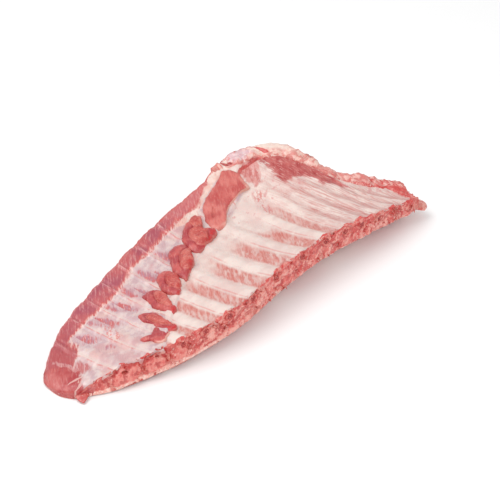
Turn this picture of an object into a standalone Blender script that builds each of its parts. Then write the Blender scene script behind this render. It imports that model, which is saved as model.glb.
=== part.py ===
"""A raw rack of pork spare ribs, lying bone side up on its rounded meat side.

The rack is one bowed sheet of meat with fourteen rib bones in it, whose ends show in the sawn
face. Every point of its bone side is found from two shares: along, 0 at the flank tip and 1 at the
neck end, and across, 0 at the sawn edge and 1 at the flank and breastbone edge. All sizes are
millimetres until a mesh is made. +X runs along the rack to the neck end, +Y to the breastbone.
"""
import math

import bmesh
import bpy
import numpy as np

MM = 0.001

# The bone side's edges: share along, X, Y, height above the table.
SAWN_EDGE = (
    (0.000, -240, -27, 12), (0.110, -190, -45, 23), (0.229, -140, -61, 31), (0.372, -80, -67, 39),
    (0.516, -20, -60, 43.5), (0.683, 50, -56, 45), (0.838, 115, -58, 38), (1.000, 183, -57, 24),
)
FLANK_EDGE = (
    (0.000, -243, 12, 8), (0.045, -222, 31, 10), (0.125, -187, 52, 13), (0.240, -135, 68, 19),
    (0.380, -75, 85, 25), (0.525, -14, 98, 31), (0.655, 43, 106, 38), (0.720, 72, 112, 46),
    (0.790, 105, 101, 54), (0.840, 128, 81, 54), (0.873, 138, 60, 49), (0.915, 142, 33, 41),
    (0.965, 170, -2, 33), (1.000, 190, -24, 29),
)
# How far the bone side sags between its two edges: share along, depth.
SAG = ((0.00, 1.0), (0.25, 5.0), (0.50, 10.0), (0.70, 13.0), (0.85, 9.0), (1.00, 2.0))
TIP_ROUNDING = 8.0
TIP_ROUNDING_SHARE = 0.10

# Heights of the underside's rim: the sawn face's lower line, and the thickness of the other edge.
SAWN_FACE_FOOT = (
    (0.00, 0.0), (0.11, 2.0), (0.23, 7.0), (0.37, 13.0), (0.52, 18.0), (0.68, 21.0), (0.84, 19.0), (1.00, 11.0),
)
FLANK_THICKNESS = (
    (0.00, 7.0), (0.12, 10.0), (0.38, 13.0), (0.60, 17.0), (0.72, 25.0), (0.79, 30.0), (0.87, 27.0),
    (0.95, 18.0), (1.00, 15.0),
)
NECK_END_FOOT = 12.0
BELLY_REACH_SAWN = 0.34
BELLY_REACH_FLANK = 0.40
BELLY_REACH_NECK = 0.13

# Outward bulge and lean of the rim wall on each side.
SAWN_BULGE = 0.6
SAWN_LEAN_NEAR_TIP = 5.0
CHOP = 0.8
FLANK_BULGE = 2.4
FLANK_UNDERCUT = -5.0
TIP_LEAN = 0.5
NECK_BULGE = 2.0

# Ribs: the vessel line along each rib's rear edge, as the share along at the sawn edge.
RIB_LINES = (
    0.070, 0.140, 0.198, 0.254, 0.320, 0.392, 0.478, 0.572, 0.655, 0.720, 0.775, 0.835, 0.897, 0.950,
)
RIB_SLANT = 0.12
RIB_SLANT_FROM = 0.74
RIB_SLANT_OVER = 0.14
LENGTH_PER_SHARE = 425.0
RIB_OFFSET = 7.0
RIB_CREST = 2.3
RIB_CREST_WIDTH = 6.5

BONE_WIDTH = 12.0
BONE_HEIGHT = 8.6
BONE_DEPTH = 5.6
BONE_REACH = 0.60
BONE_PROUD = 1.2
BONE_GAP = 0.35
BONE_SIDES = 8
BONE_RINGS = 6

# The cut edge of the diaphragm: share along, share across.
DIAPHRAGM_EDGE = ((0.18, 0.03), (0.25, 0.25), (0.33, 0.42), (0.47, 0.58), (0.60, 0.66), (0.70, 0.74))
LEDGE_HEIGHT = 2.4
LEDGE_FADE = 0.22

# Steps of the mesh. Its underside is half as fine as its bone side.
STEPS_ALONG = 90
STEPS_ACROSS = 24
WALL_STEPS = 3

# Stubs of diaphragm muscle left on the rack: outline as shares along and across, then height.
MUSCLES = {
    "skirt": (((0.70, 0.93), (0.73, 0.84), (0.69, 0.73), (0.64, 0.71), (0.58, 0.66), (0.55, 0.68),
               (0.57, 0.77), (0.60, 0.87), (0.65, 0.92)), 6.5),
    "kidney": (((0.53, 0.83), (0.56, 0.80), (0.55, 0.71), (0.54, 0.65), (0.49, 0.595), (0.46, 0.64),
                (0.475, 0.74)), 6.5),
    "stub_1": (((0.43, 0.76), (0.46, 0.73), (0.455, 0.63), (0.43, 0.555), (0.385, 0.50), (0.375, 0.58),
                (0.395, 0.68)), 6.5),
    "stub_2": (((0.335, 0.64), (0.37, 0.65), (0.372, 0.56), (0.35, 0.47), (0.315, 0.43), (0.305, 0.50)), 6.0),
    "stub_3": (((0.28, 0.60), (0.31, 0.57), (0.31, 0.50), (0.295, 0.37), (0.265, 0.29), (0.262, 0.42)), 5.5),
    "stub_4": (((0.225, 0.48), (0.25, 0.48), (0.262, 0.38), (0.245, 0.26), (0.222, 0.14), (0.215, 0.30)), 4.5),
    "stub_5": (((0.17, 0.25), (0.195, 0.24), (0.212, 0.22), (0.20, 0.10), (0.175, 0.08)), 4.0),
}
MUSCLE_DEPTH = 3.0
MUSCLE_OUTLINE_STEPS = 20
MUSCLE_RINGS = 3

# Lumps of fat and trimmed meat along the breastbone rim and the neck end.
RIM_LUMPS = 14
RIM_SEED = 41
RIM_FROM = 0.695
RIM_TO = 0.960
RIM_LUMP_SIZE = 9.0
# Chunks of muscle and bone that stand out of the sawn face: share along, share down, size.
SAWN_CHUNKS = (
    (0.085, 0.50, 6.5), (0.155, 0.45, 7.0), (0.300, 0.55, 6.0), (0.445, 0.60, 6.5), (0.620, 0.55, 6.5),
    (0.760, 0.60, 5.5),
)

# Torn flaps at the two sawn corners: their middle lines, then half widths and half heights.
TIP_FLAP = ((-232, -20, 7.0), (-239, -28, 4.5), (-244, -35, 2.0))
TIP_FLAP_SIZES = ((8.0, 3.5), (6.0, 2.4), (3.0, 1.4))
NECK_FLAP = ((182, -44, 17.0), (189, -53, 13.5), (194, -59, 11.0))
NECK_FLAP_SIZES = ((11.0, 4.5), (8.0, 3.0), (4.0, 1.8))

MEAT_COLOUR = (0.55, 0.19, 0.15)
BONE_COLOUR = (0.72, 0.42, 0.36)


def curve(rows, share):
    """Values of a smooth curve through rows of (share, values...), with slopes from its neighbours."""
    rows = np.array(rows, float)
    x, y = rows[:, 0], rows[:, 1:]
    gaps = np.diff(x)[:, None]
    rises = np.diff(y, axis=0) / gaps
    slopes = np.empty_like(y)
    slopes[1:-1] = (rises[:-1] * gaps[1:] + rises[1:] * gaps[:-1]) / (gaps[:-1] + gaps[1:])
    slopes[0], slopes[-1] = rises[0], rises[-1]
    share = np.clip(np.asarray(share, float), x[0], x[-1])
    i = np.clip(np.searchsorted(x, share, side="right") - 1, 0, len(x) - 2)
    width = (x[i + 1] - x[i])[..., None]
    t = (share - x[i])[..., None] / width
    return (
        (2 * t**3 - 3 * t**2 + 1) * y[i] + (t**3 - 2 * t**2 + t) * width * slopes[i]
        + (3 * t**2 - 2 * t**3) * y[i + 1] + (t**3 - t**2) * width * slopes[i + 1]
    )


def ramp(x, low, high):
    """0 below low, 1 above high, smooth between."""
    t = np.clip((x - low) / (high - low), 0, 1)
    return t * t * (3 - 2 * t)


def sheet(along, across):
    """The smooth bone side, before the ribs."""
    along, across = np.broadcast_arrays(np.asarray(along, float), np.asarray(across, float))
    hump = 4 * across * (1 - across)
    points = curve(SAWN_EDGE, along) * (1 - across)[..., None] + curve(FLANK_EDGE, along) * across[..., None]
    near_tip = np.clip(1 - along / TIP_ROUNDING_SHARE, 0, 1) ** 2
    points[..., 0] -= TIP_ROUNDING * near_tip * hump
    points[..., 2] -= curve(SAG, along)[..., 0] * hump
    return points


def rib_centre(line, across):
    """Share along of a rib's middle: ribs near the neck end slant towards the tip."""
    slant = RIB_SLANT * min(max((line - RIB_SLANT_FROM) / RIB_SLANT_OVER, 0), 1)
    return line + RIB_OFFSET / LENGTH_PER_SHARE - slant * np.asarray(across, float)


def relief(along, across):
    """Height of rib crests and of the diaphragm's ledge above the smooth sheet."""
    height = np.zeros(np.broadcast(along, across).shape)
    for line in RIB_LINES:
        from_crest = (along - rib_centre(line, across)) * LENGTH_PER_SHARE
        height += RIB_CREST * np.exp(-((from_crest / RIB_CREST_WIDTH) ** 2))
    height *= 1 - 0.6 * ramp(across, 0.55, 0.75)
    height *= 1 - ramp(across, 0.72 + 0.26 * along, 0.80 + 0.26 * along)
    edge = curve(DIAPHRAGM_EDGE, along)[..., 0]
    beside = ramp(across, edge - 0.02, edge + 0.03) * (1 - ramp(across, edge + 0.05, edge + LEDGE_FADE))
    height += LEDGE_HEIGHT * beside * ramp(along, 0.16, 0.22) * (1 - ramp(along, 0.68, 0.74))
    return height


def bone_side(along, across):
    points = sheet(along, across)
    points[..., 2] += relief(along, across)
    return points


def underside_height(along, across):
    """Height of the meat side: flat on the table along the middle, curling up to its rim."""
    sawn = curve(SAWN_FACE_FOOT, along)[..., 0]
    flank = curve(FLANK_EDGE, along)[..., 2] - curve(FLANK_THICKNESS, along)[..., 0]
    curls = (
        sawn * np.clip(1 - across / BELLY_REACH_SAWN, 0, 1) ** 2,
        np.clip(flank, 0, None) * np.clip(1 - (1 - across) / BELLY_REACH_FLANK, 0, 1) ** 2,
        NECK_END_FOOT * np.clip(1 - (1 - along) / BELLY_REACH_NECK, 0, 1) ** 2,
    )
    return sum(curl**3 for curl in curls) ** (1 / 3)


def rim_shares(steps_along, steps_across):
    """Shares along and across of the points right round the sheet's edge, starting at the sawn corner of the tip."""
    a = np.linspace(0, 1, steps_along + 1)
    c = np.linspace(0, 1, steps_across + 1)
    along = np.concatenate([a[:-1], np.ones(steps_across), a[:0:-1], np.zeros(steps_across)])
    across = np.concatenate([np.zeros(steps_along), c[:-1], np.ones(steps_along), c[:0:-1]])
    return along, across


def rim_index(steps_along, steps_across):
    """Grid indices of the same points, for a grid stored along first."""
    width = steps_across + 1
    sawn = [i * width for i in range(steps_along)]
    neck = [steps_along * width + j for j in range(steps_across)]
    flank = [i * width + steps_across for i in range(steps_along, 0, -1)]
    tip = [j for j in range(steps_across, 0, -1)]
    return sawn + neck + flank + tip


def rim_offset(along, across, down):
    """How far out the rim wall stands from the bone side's edge, at a share down the wall."""
    on_sawn = (1 - ramp(across, 0.0, 0.25)) * (1 - ramp(along, 0.97, 1.0))
    on_flank = ramp(across, 0.5, 1.0)
    at_tip = 1 - ramp(along, 0.0, 0.07)
    at_neck = ramp(along, 0.93, 1.0) * (1 - on_flank)
    bulge = FLANK_BULGE * on_flank + NECK_BULGE * at_neck + SAWN_BULGE * on_sawn
    lean = FLANK_UNDERCUT * on_flank * (1 - at_tip) + TIP_LEAN * at_tip * (1 - 0.8 * on_flank)
    lean = lean + SAWN_LEAN_NEAR_TIP * on_sawn * (1 - ramp(along, 0.05, 0.30)) * (1 - at_tip)
    chop = np.sin(145 * along + 9 * down) + 0.8 * np.sin(256 * along + 5 * down + 1)
    return bulge * np.sin(math.pi * down) + lean * down + CHOP * chop * on_sawn


def rim_wall(along, across):
    """Rings of points down the wall, from just under the edge to the underside's rim."""
    edge = bone_side(along, across)
    before = np.roll(edge, 2, axis=0)
    after = np.roll(edge, -2, axis=0)
    outward = np.stack([after[:, 1] - before[:, 1], before[:, 0] - after[:, 0]], axis=-1)
    outward /= np.linalg.norm(outward, axis=-1)[:, None]
    foot = underside_height(along, across)
    rings = []
    for step in range(1, WALL_STEPS + 1):
        down = step / WALL_STEPS
        ring = edge.copy()
        ring[:, :2] += outward * rim_offset(along, across, down)[:, None]
        ring[:, 2] += (foot - edge[:, 2]) * down
        rings.append(ring)
    return rings


def underside(rim, steps_along, steps_across):
    """Grid of the meat side spanned inside its rim."""
    sawn = rim[:steps_along + 1]
    neck = rim[steps_along:steps_along + steps_across + 1]
    flank = rim[steps_along + steps_across:2 * steps_along + steps_across + 1][::-1]
    tip = np.concatenate([rim[2 * steps_along + steps_across:], rim[:1]])[::-1]
    a = np.linspace(0, 1, steps_along + 1)[:, None, None]
    c = np.linspace(0, 1, steps_across + 1)[None, :, None]
    lengthwise = (1 - c) * sawn[:, None] + c * flank[:, None]
    crosswise = (1 - a) * tip[None] + a * neck[None]
    corners = (
        (1 - a) * (1 - c) * sawn[0] + a * (1 - c) * sawn[-1] + (1 - a) * c * flank[0] + a * c * flank[-1]
    )
    grid = lengthwise + crosswise - corners
    grid[..., 2] = underside_height(a[..., 0], c[..., 0])
    return grid


def grid_faces(steps_along, steps_across, start, upward):
    faces = []
    width = steps_across + 1
    for i in range(steps_along):
        for j in range(steps_across):
            a = start + i * width + j
            b, c, d = a + width, a + width + 1, a + 1
            faces += [(a, b, c), (a, c, d)] if upward else [(a, c, b), (a, d, c)]
    return faces


def closed_sheet():
    """Points and triangles of the whole bowed sheet."""
    along, across = np.meshgrid(
        np.linspace(0, 1, STEPS_ALONG + 1), np.linspace(0, 1, STEPS_ACROSS + 1), indexing="ij"
    )
    top = bone_side(along, across).reshape(-1, 3)
    rings = rim_wall(*rim_shares(STEPS_ALONG, STEPS_ACROSS))
    half_along, half_across = STEPS_ALONG // 2, STEPS_ACROSS // 2
    under = underside(rings[-1][::2], half_along, half_across).reshape(-1, 3)
    around = len(rings[0])
    faces = grid_faces(STEPS_ALONG, STEPS_ACROSS, 0, True)
    above = rim_index(STEPS_ALONG, STEPS_ACROSS)
    start = len(top)
    for _ in rings[:-1]:
        below = [start + k for k in range(around)]
        for k in range(around):
            n = (k + 1) % around
            faces += [(above[k], below[k], below[n]), (above[k], below[n], above[n])]
        above = below
        start += around
    foot = [start + k for k in rim_index(half_along, half_across)]
    for k in range(around // 2):
        a, b, c = above[2 * k], above[2 * k + 1], above[(2 * k + 2) % around]
        p, q = foot[k], foot[(k + 1) % (around // 2)]
        faces += [(a, p, b), (p, q, b), (b, q, c)]
    faces += grid_faces(half_along, half_across, start, False)
    return np.concatenate([top, *rings[:-1], under]), faces


def tube(path, sizes, sides):
    """A closed bar of elliptical rings, flat in the ground plane's sense, along a path."""
    path = np.array(path, float)
    points, faces = [], []
    for i, middle in enumerate(path):
        ahead = path[min(i + 1, len(path) - 1)] - path[max(i - 1, 0)]
        ahead /= np.linalg.norm(ahead)
        side = np.cross(ahead, (0, 0, 1))
        side /= np.linalg.norm(side)
        up = np.cross(side, ahead)
        for k in range(sides):
            turn = 2 * math.pi * k / sides
            points.append(middle + side * math.cos(turn) * sizes[i][0] + up * math.sin(turn) * sizes[i][1])
    for i in range(len(path) - 1):
        for k in range(sides):
            a, b = i * sides + k, i * sides + (k + 1) % sides
            faces += [(a, b + sides, b), (a, a + sides, b + sides)]
    last = (len(path) - 1) * sides
    for k in range(1, sides - 1):
        faces += [(0, k, k + 1), (last, last + k + 1, last + k)]
    return np.array(points), faces


def rib_bar(number, grow, proud):
    """A rib bone, or with grow above 0 the bed it lies in."""
    line = RIB_LINES[number]
    size = min(1.0, 0.62 + 0.10 * number, 0.80 + 0.10 * (len(RIB_LINES) - 1 - number))
    reach = BONE_REACH * min(1.0, 0.70 + 0.10 * number)
    across = np.linspace(0, reach, BONE_RINGS)
    path = sheet(rib_centre(line, across), across)
    path[:, 2] -= BONE_DEPTH * (0.75 + 0.25 * size)
    start = (path[0] - path[1]) / np.linalg.norm(path[0] - path[1])
    finish = (path[-1] - path[-2]) / np.linalg.norm(path[-1] - path[-2])
    path[0] += start * proud
    path[-1] += finish * grow
    half_width, half_height = BONE_WIDTH / 2 * size, BONE_HEIGHT / 2 * size
    sizes = [(half_width + grow, half_height + grow)] * (BONE_RINGS - 1)
    sizes.append((half_width * 0.7 + grow, half_height * 0.7 + grow))
    return tube(path, sizes, BONE_SIDES)


def pillow(outline, height):
    """A rounded pad of muscle lying on the bone side, sunk a little into it."""
    knots = np.array(outline, float)
    after = np.roll(knots, -1, axis=0)
    if (knots[:, 0] * after[:, 1] - after[:, 0] * knots[:, 1]).sum() < 0:
        knots = knots[::-1]
    count = len(knots)
    turns = np.arange(MUSCLE_OUTLINE_STEPS) / MUSCLE_OUTLINE_STEPS * count
    i = turns.astype(int)
    t = (turns - i)[:, None]
    p0, p1, p2, p3 = (knots[(i + k) % count] for k in (-1, 0, 1, 2))
    ring = 0.5 * (2 * p1 + (p2 - p0) * t + (2 * p0 - 5 * p1 + 4 * p2 - p3) * t**2 + (3 * p1 - p0 - 3 * p2 + p3) * t**3)
    middle = knots.mean(axis=0)
    points, faces = [], []
    levels = [(1.0, -MUSCLE_DEPTH)]
    for step in range(MUSCLE_RINGS):
        turn = 0.5 * math.pi * step / MUSCLE_RINGS
        levels.append((math.cos(turn) ** 0.6, height * math.sin(turn) ** 0.8 + 0.8))
    for inward, lift in levels:
        place = middle + (ring - middle) * inward
        layer = sheet(place[:, 0], place[:, 1])
        layer[:, 2] += lift
        points.append(layer)
    steps = MUSCLE_OUTLINE_STEPS
    for level in range(len(levels) - 1):
        for k in range(steps):
            a, b = level * steps + k, level * steps + (k + 1) % steps
            faces += [(a, b, b + steps), (a, b + steps, a + steps)]
    peak, base = len(levels) * steps, len(levels) * steps + 1
    caps = sheet(middle[0], middle[1])
    points.append(np.array([caps + (0, 0, height + 0.8), caps - (0, 0, MUSCLE_DEPTH)]))
    last = (len(levels) - 1) * steps
    for k in range(steps):
        n = (k + 1) % steps
        faces += [(last + k, last + n, peak), (n, k, base)]
    return np.concatenate(points), faces


def lump(middle, sizes, turn, fineness):
    """A low ball of fat, squashed and turned."""
    mesh = bmesh.new()
    bmesh.ops.create_icosphere(mesh, subdivisions=fineness, radius=1.0)
    ball = np.array([vertex.co for vertex in mesh.verts])
    faces = [tuple(vertex.index for vertex in face.verts) for face in mesh.faces]
    mesh.free()
    ball = ball * sizes
    cos, sin = math.cos(turn), math.sin(turn)
    turned = np.stack([ball[:, 0] * cos - ball[:, 1] * sin, ball[:, 0] * sin + ball[:, 1] * cos, ball[:, 2]], -1)
    return turned + middle, faces


def rim_lumps():
    """Seeded lumps along the breastbone rim, larger at the breastbone than at the neck end."""
    draw = np.random.default_rng(RIM_SEED)
    lumps = []
    for number in range(RIM_LUMPS):
        share = number / (RIM_LUMPS - 1)
        along = RIM_FROM + (RIM_TO - RIM_FROM) * share
        across = draw.uniform(0.90, 0.95)
        size = RIM_LUMP_SIZE * (1 - 0.45 * share) * draw.uniform(0.85, 1.15)
        middle = sheet(along, across)
        middle[2] -= 0.50 * size
        ahead = sheet(along + 0.01, across) - sheet(along - 0.01, across)
        turn = math.atan2(ahead[1], ahead[0]) + draw.uniform(-0.5, 0.5)
        lumps.append(lump(middle, (1.6 * size, size, 0.85 * size), turn, 2))
    return lumps


def sawn_chunks():
    chunks = []
    for along, down, size in SAWN_CHUNKS:
        middle = sheet(along, 0.0)
        foot = curve(SAWN_FACE_FOOT, along)[0]
        middle[1] += 0.45 * size
        middle[2] += (foot - middle[2]) * down
        chunks.append(lump(middle, (1.3 * size, 0.75 * size, 0.85 * size), 0.0, 1))
    return chunks


def mesh_object(name, points, faces):
    mesh = bpy.data.meshes.new(name)
    mesh.from_pydata([tuple(point) for point in np.asarray(points) * MM], [], faces)
    mesh.update()
    piece = bpy.data.objects.new(name, mesh)
    bpy.context.scene.collection.objects.link(piece)
    return piece


def give_material(piece, colour, roughness):
    material = bpy.data.materials.new(piece.name)
    material.use_nodes = True
    shader = material.node_tree.nodes["Principled BSDF"]
    shader.inputs["Base Color"].default_value = (*colour, 1)
    shader.inputs["Roughness"].default_value = roughness
    shader.inputs["Metallic"].default_value = 0
    piece.data.materials.clear()
    piece.data.materials.append(material)
    piece.data.shade_smooth()
    piece.data.set_sharp_from_angle(angle=math.radians(45))


def combine(piece, operation, shapes):
    """Joins shapes to the piece, or cuts them from it, in one Boolean that is then applied."""
    tools = bpy.data.collections.new(f"{piece.name} {operation}")
    bpy.context.scene.collection.children.link(tools)
    for number, (points, faces) in enumerate(shapes):
        tool = mesh_object(f"tool {number}", points, faces)
        bpy.context.scene.collection.objects.unlink(tool)
        tools.objects.link(tool)
    modifier = piece.modifiers.new(operation, "BOOLEAN")
    modifier.operation = operation
    modifier.operand_type = "COLLECTION"
    modifier.collection = tools
    modifier.solver = "EXACT"
    graph = bpy.context.evaluated_depsgraph_get()
    joined = bpy.data.meshes.new_from_object(piece.evaluated_get(graph))
    piece.modifiers.clear()
    piece.data = joined
    for tool in list(tools.objects):
        bpy.data.objects.remove(tool)
    bpy.data.collections.remove(tools)


def centre(pieces):
    """Moves every mesh so that the origin is the middle of the whole box's floor."""
    corners = np.array([vertex.co for piece in pieces for vertex in piece.data.vertices])
    low, high = corners.min(axis=0), corners.max(axis=0)
    shift = ((low[0] + high[0]) / 2, (low[1] + high[1]) / 2, low[2])
    for piece in pieces:
        for vertex in piece.data.vertices:
            vertex.co = [here - by for here, by in zip(vertex.co, shift)]
        piece.data.update()
    print("shift mm", [round(float(by) / MM, 2) for by in shift])


def main():
    for piece in list(bpy.data.objects):
        bpy.data.objects.remove(piece)
    meat = mesh_object("meat", *closed_sheet())
    additions = [pillow(outline, height) for outline, height in MUSCLES.values()]
    additions += rim_lumps() + sawn_chunks()
    additions.append(tube(TIP_FLAP, TIP_FLAP_SIZES, BONE_SIDES))
    additions.append(tube(NECK_FLAP, NECK_FLAP_SIZES, BONE_SIDES))
    combine(meat, "UNION", additions)
    combine(meat, "DIFFERENCE", [rib_bar(number, BONE_GAP, 8.0) for number in range(len(RIB_LINES))])
    give_material(meat, MEAT_COLOUR, 0.45)
    pieces = [meat]
    for number in range(len(RIB_LINES)):
        bone = mesh_object(f"rib_bone_{number + 1:02d}", *rib_bar(number, 0.0, BONE_PROUD))
        give_material(bone, BONE_COLOUR, 0.5)
        pieces.append(bone)
    centre(pieces)


main()
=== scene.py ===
import itertools
import math

import bpy
import numpy as np
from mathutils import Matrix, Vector


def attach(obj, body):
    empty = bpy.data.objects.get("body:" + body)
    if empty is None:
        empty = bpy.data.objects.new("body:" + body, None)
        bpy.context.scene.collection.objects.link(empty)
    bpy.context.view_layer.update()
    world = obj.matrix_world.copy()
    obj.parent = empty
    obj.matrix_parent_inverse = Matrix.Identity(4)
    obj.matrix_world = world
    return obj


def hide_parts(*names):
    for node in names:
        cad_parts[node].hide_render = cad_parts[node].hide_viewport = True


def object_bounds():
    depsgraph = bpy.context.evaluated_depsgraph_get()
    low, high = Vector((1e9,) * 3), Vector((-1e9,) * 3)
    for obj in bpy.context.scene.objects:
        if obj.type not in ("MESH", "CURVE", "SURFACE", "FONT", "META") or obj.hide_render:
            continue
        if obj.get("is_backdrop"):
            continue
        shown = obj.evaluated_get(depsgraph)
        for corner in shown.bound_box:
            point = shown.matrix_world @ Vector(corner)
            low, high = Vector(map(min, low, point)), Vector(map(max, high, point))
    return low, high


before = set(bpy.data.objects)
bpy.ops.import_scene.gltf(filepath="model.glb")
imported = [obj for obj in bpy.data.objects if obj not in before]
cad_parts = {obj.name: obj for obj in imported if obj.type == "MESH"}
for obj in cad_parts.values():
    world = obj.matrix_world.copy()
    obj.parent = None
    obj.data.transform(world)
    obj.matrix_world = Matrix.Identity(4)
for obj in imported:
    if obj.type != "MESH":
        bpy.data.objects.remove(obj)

cad_low, cad_high = (np.array(corner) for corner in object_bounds())

# The rack itself: one bowed sheet of raw pork, bone side up. Muscle, fat, cartilage and a thin
# shiny membrane lie over the ribs, and the meat side under it is a smooth belly. The form is
# found from two shares: along, 0 at the flank tip and 1 at the neck, and across, 0 at the saw cut.
MM = 0.001
BOX_MIDDLE = (-26.46, 21.70, 0.0)

SAWN_EDGE = (
    (0.000, -240, -27, 12), (0.110, -190, -45, 23), (0.229, -140, -61, 31), (0.372, -80, -67, 39),
    (0.516, -20, -60, 43.5), (0.683, 50, -56, 45), (0.838, 115, -58, 38), (1.000, 183, -57, 24),
)
FLANK_EDGE = (
    (0.000, -243, 12, 8), (0.045, -222, 31, 10), (0.125, -187, 52, 13), (0.240, -135, 68, 19),
    (0.380, -75, 85, 25), (0.525, -14, 98, 31), (0.655, 43, 106, 38), (0.720, 72, 112, 46),
    (0.790, 105, 101, 54), (0.840, 128, 81, 54), (0.873, 138, 60, 49), (0.915, 142, 33, 41),
    (0.965, 170, -2, 33), (1.000, 190, -24, 29),
)
SAG = ((0.00, 1.0), (0.25, 5.0), (0.50, 10.0), (0.70, 13.0), (0.85, 9.0), (1.00, 2.0))
TIP_ROUNDING = 8.0
TIP_ROUNDING_SHARE = 0.10
SAWN_FACE_FOOT = (
    (0.00, 0.0), (0.11, 2.0), (0.23, 7.0), (0.37, 13.0), (0.52, 18.0), (0.68, 21.0), (0.84, 19.0),
    (1.00, 11.0),
)
FLANK_THICKNESS = (
    (0.00, 7.0), (0.12, 10.0), (0.38, 13.0), (0.60, 17.0), (0.72, 25.0), (0.79, 30.0), (0.87, 27.0),
    (0.95, 18.0), (1.00, 15.0),
)
NECK_END_FOOT = 12.0
BELLY_REACH_SAWN = 0.34
BELLY_REACH_FLANK = 0.40
BELLY_REACH_NECK = 0.13
FLANK_BULGE = 2.4
FLANK_UNDERCUT = -5.0
TIP_LEAN = 0.5
NECK_BULGE = 2.0
SAWN_LEAN_NEAR_TIP = 5.0
SAWN_INSET = -1.6

RIB_LINES = (
    0.070, 0.140, 0.198, 0.254, 0.320, 0.392, 0.478, 0.572, 0.655, 0.720, 0.775, 0.835, 0.897, 0.950,
)
RIB_SLANT = 0.12
RIB_SLANT_FROM = 0.74
RIB_SLANT_OVER = 0.14
LENGTH_PER_SHARE = 425.0
RIB_OFFSET = 7.0
RIB_CREST = 2.3
RIB_CREST_WIDTH = 6.5
DIAPHRAGM_EDGE = ((0.18, 0.03), (0.25, 0.25), (0.33, 0.42), (0.47, 0.58), (0.60, 0.66), (0.70, 0.74))
LEDGE_HEIGHT = 2.4
LEDGE_FADE = 0.22

SOFT_LIMIT = 2.0
STEPS_ALONG = 400
STEPS_ACROSS = 160
WALL_STEPS = 10


def curve(rows, share):
    """Values of a smooth curve through rows of (share, values...), with slopes from its neighbours."""
    rows = np.array(rows, float)
    x, y = rows[:, 0], rows[:, 1:]
    gaps = np.diff(x)[:, None]
    rises = np.diff(y, axis=0) / gaps
    slopes = np.empty_like(y)
    slopes[1:-1] = (rises[:-1] * gaps[1:] + rises[1:] * gaps[:-1]) / (gaps[:-1] + gaps[1:])
    slopes[0], slopes[-1] = rises[0], rises[-1]
    share = np.clip(np.asarray(share, float), x[0], x[-1])
    i = np.clip(np.searchsorted(x, share, side="right") - 1, 0, len(x) - 2)
    width = (x[i + 1] - x[i])[..., None]
    t = (share - x[i])[..., None] / width
    return (
        (2 * t**3 - 3 * t**2 + 1) * y[i] + (t**3 - 2 * t**2 + t) * width * slopes[i]
        + (3 * t**2 - 2 * t**3) * y[i + 1] + (t**3 - t**2) * width * slopes[i + 1]
    )


def profile(rows, share):
    """The same where each row has one value."""
    return curve(rows, share)[..., 0]


def ramp(x, low, high):
    """0 below low, 1 above high, smooth between."""
    t = np.clip((np.asarray(x, float) - low) / (high - low), 0, 1)
    return t * t * (3 - 2 * t)


def bell(distance, width):
    """1 at no distance, falling smoothly to almost nothing at twice the width."""
    return np.exp(-((distance / width) ** 2))


def unit(vectors):
    """The same directions, with length 1."""
    return vectors / np.linalg.norm(vectors, axis=-1)[..., None]


def bumps(places, width, seed):
    """Smooth random bumps from -1 to 1, about width apart, at points in millimetres."""
    steps = np.asarray(places, float) / width + 7.31 * seed
    cell = np.floor(steps)
    part = steps - cell
    part = part**3 * (part * (6 * part - 15) + 10)
    keys = np.array((127.1, 311.7, 74.7))[:cell.shape[-1]]
    total = 0.0
    for corner in itertools.product((0, 1), repeat=cell.shape[-1]):
        value = np.sin((cell + corner) @ keys + seed) * 43758.5453
        weight = np.prod(np.where(corner, part, 1 - part), axis=-1)
        total = total + (value - np.floor(value)) * weight
    return 2 * total - 1


def pebbles(places, width, seed):
    """Rounded grains, 0 in the creases between them and 1 on their crowns, about width apart."""
    steps = np.asarray(places, float) / width + 3.7 * seed
    cell = np.floor(steps)
    nearest = np.full(steps.shape[:-1], 9.0)
    for corner in itertools.product((-1, 0, 1), repeat=3):
        spot = cell + corner
        keys = ((127.1, 311.7, 74.7), (269.5, 183.3, 246.1), (113.5, 271.9, 124.6))
        shifts = [np.sin(spot @ np.array(key) + seed) * 43758.5453 for key in keys]
        middle = spot + np.stack([shift - np.floor(shift) for shift in shifts], -1)
        nearest = np.minimum(nearest, ((middle - steps) ** 2).sum(-1))
    return np.clip(1 - 1.25 * nearest, 0, 1)


def sheet(along, across):
    """The smooth bone side, before the ribs."""
    along, across = np.broadcast_arrays(np.asarray(along, float), np.asarray(across, float))
    hump = 4 * across * (1 - across)
    share = across[..., None]
    points = curve(SAWN_EDGE, along) * (1 - share) + curve(FLANK_EDGE, along) * share
    near_tip = np.clip(1 - along / TIP_ROUNDING_SHARE, 0, 1) ** 2
    points[..., 0] -= TIP_ROUNDING * near_tip * hump
    points[..., 2] -= profile(SAG, along) * hump
    return points


def rib_slant(line):
    """How far a rib leans toward the tip between the saw cut and the flank, in shares along."""
    return RIB_SLANT * np.clip((line - RIB_SLANT_FROM) / RIB_SLANT_OVER, 0, 1)


def rib_centre(line, across):
    """Share along of a rib's crest, which runs beside its vessel line."""
    return line + RIB_OFFSET / LENGTH_PER_SHARE - rib_slant(line) * np.asarray(across, float)


def rib_phase(along, across):
    """Counts ribs: whole numbers on the vessel lines, which slant near the neck end."""
    lines = np.concatenate([[-0.01], RIB_LINES, [1.01]])
    place = np.array(along, float)
    for _ in range(4):
        place = along + rib_slant(place) * across
    return np.interp(place, lines, np.arange(len(lines)))


def diaphragm_edge(along):
    """Share across where the diaphragm was cut from the ribs."""
    return profile(DIAPHRAGM_EDGE, along)


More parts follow.
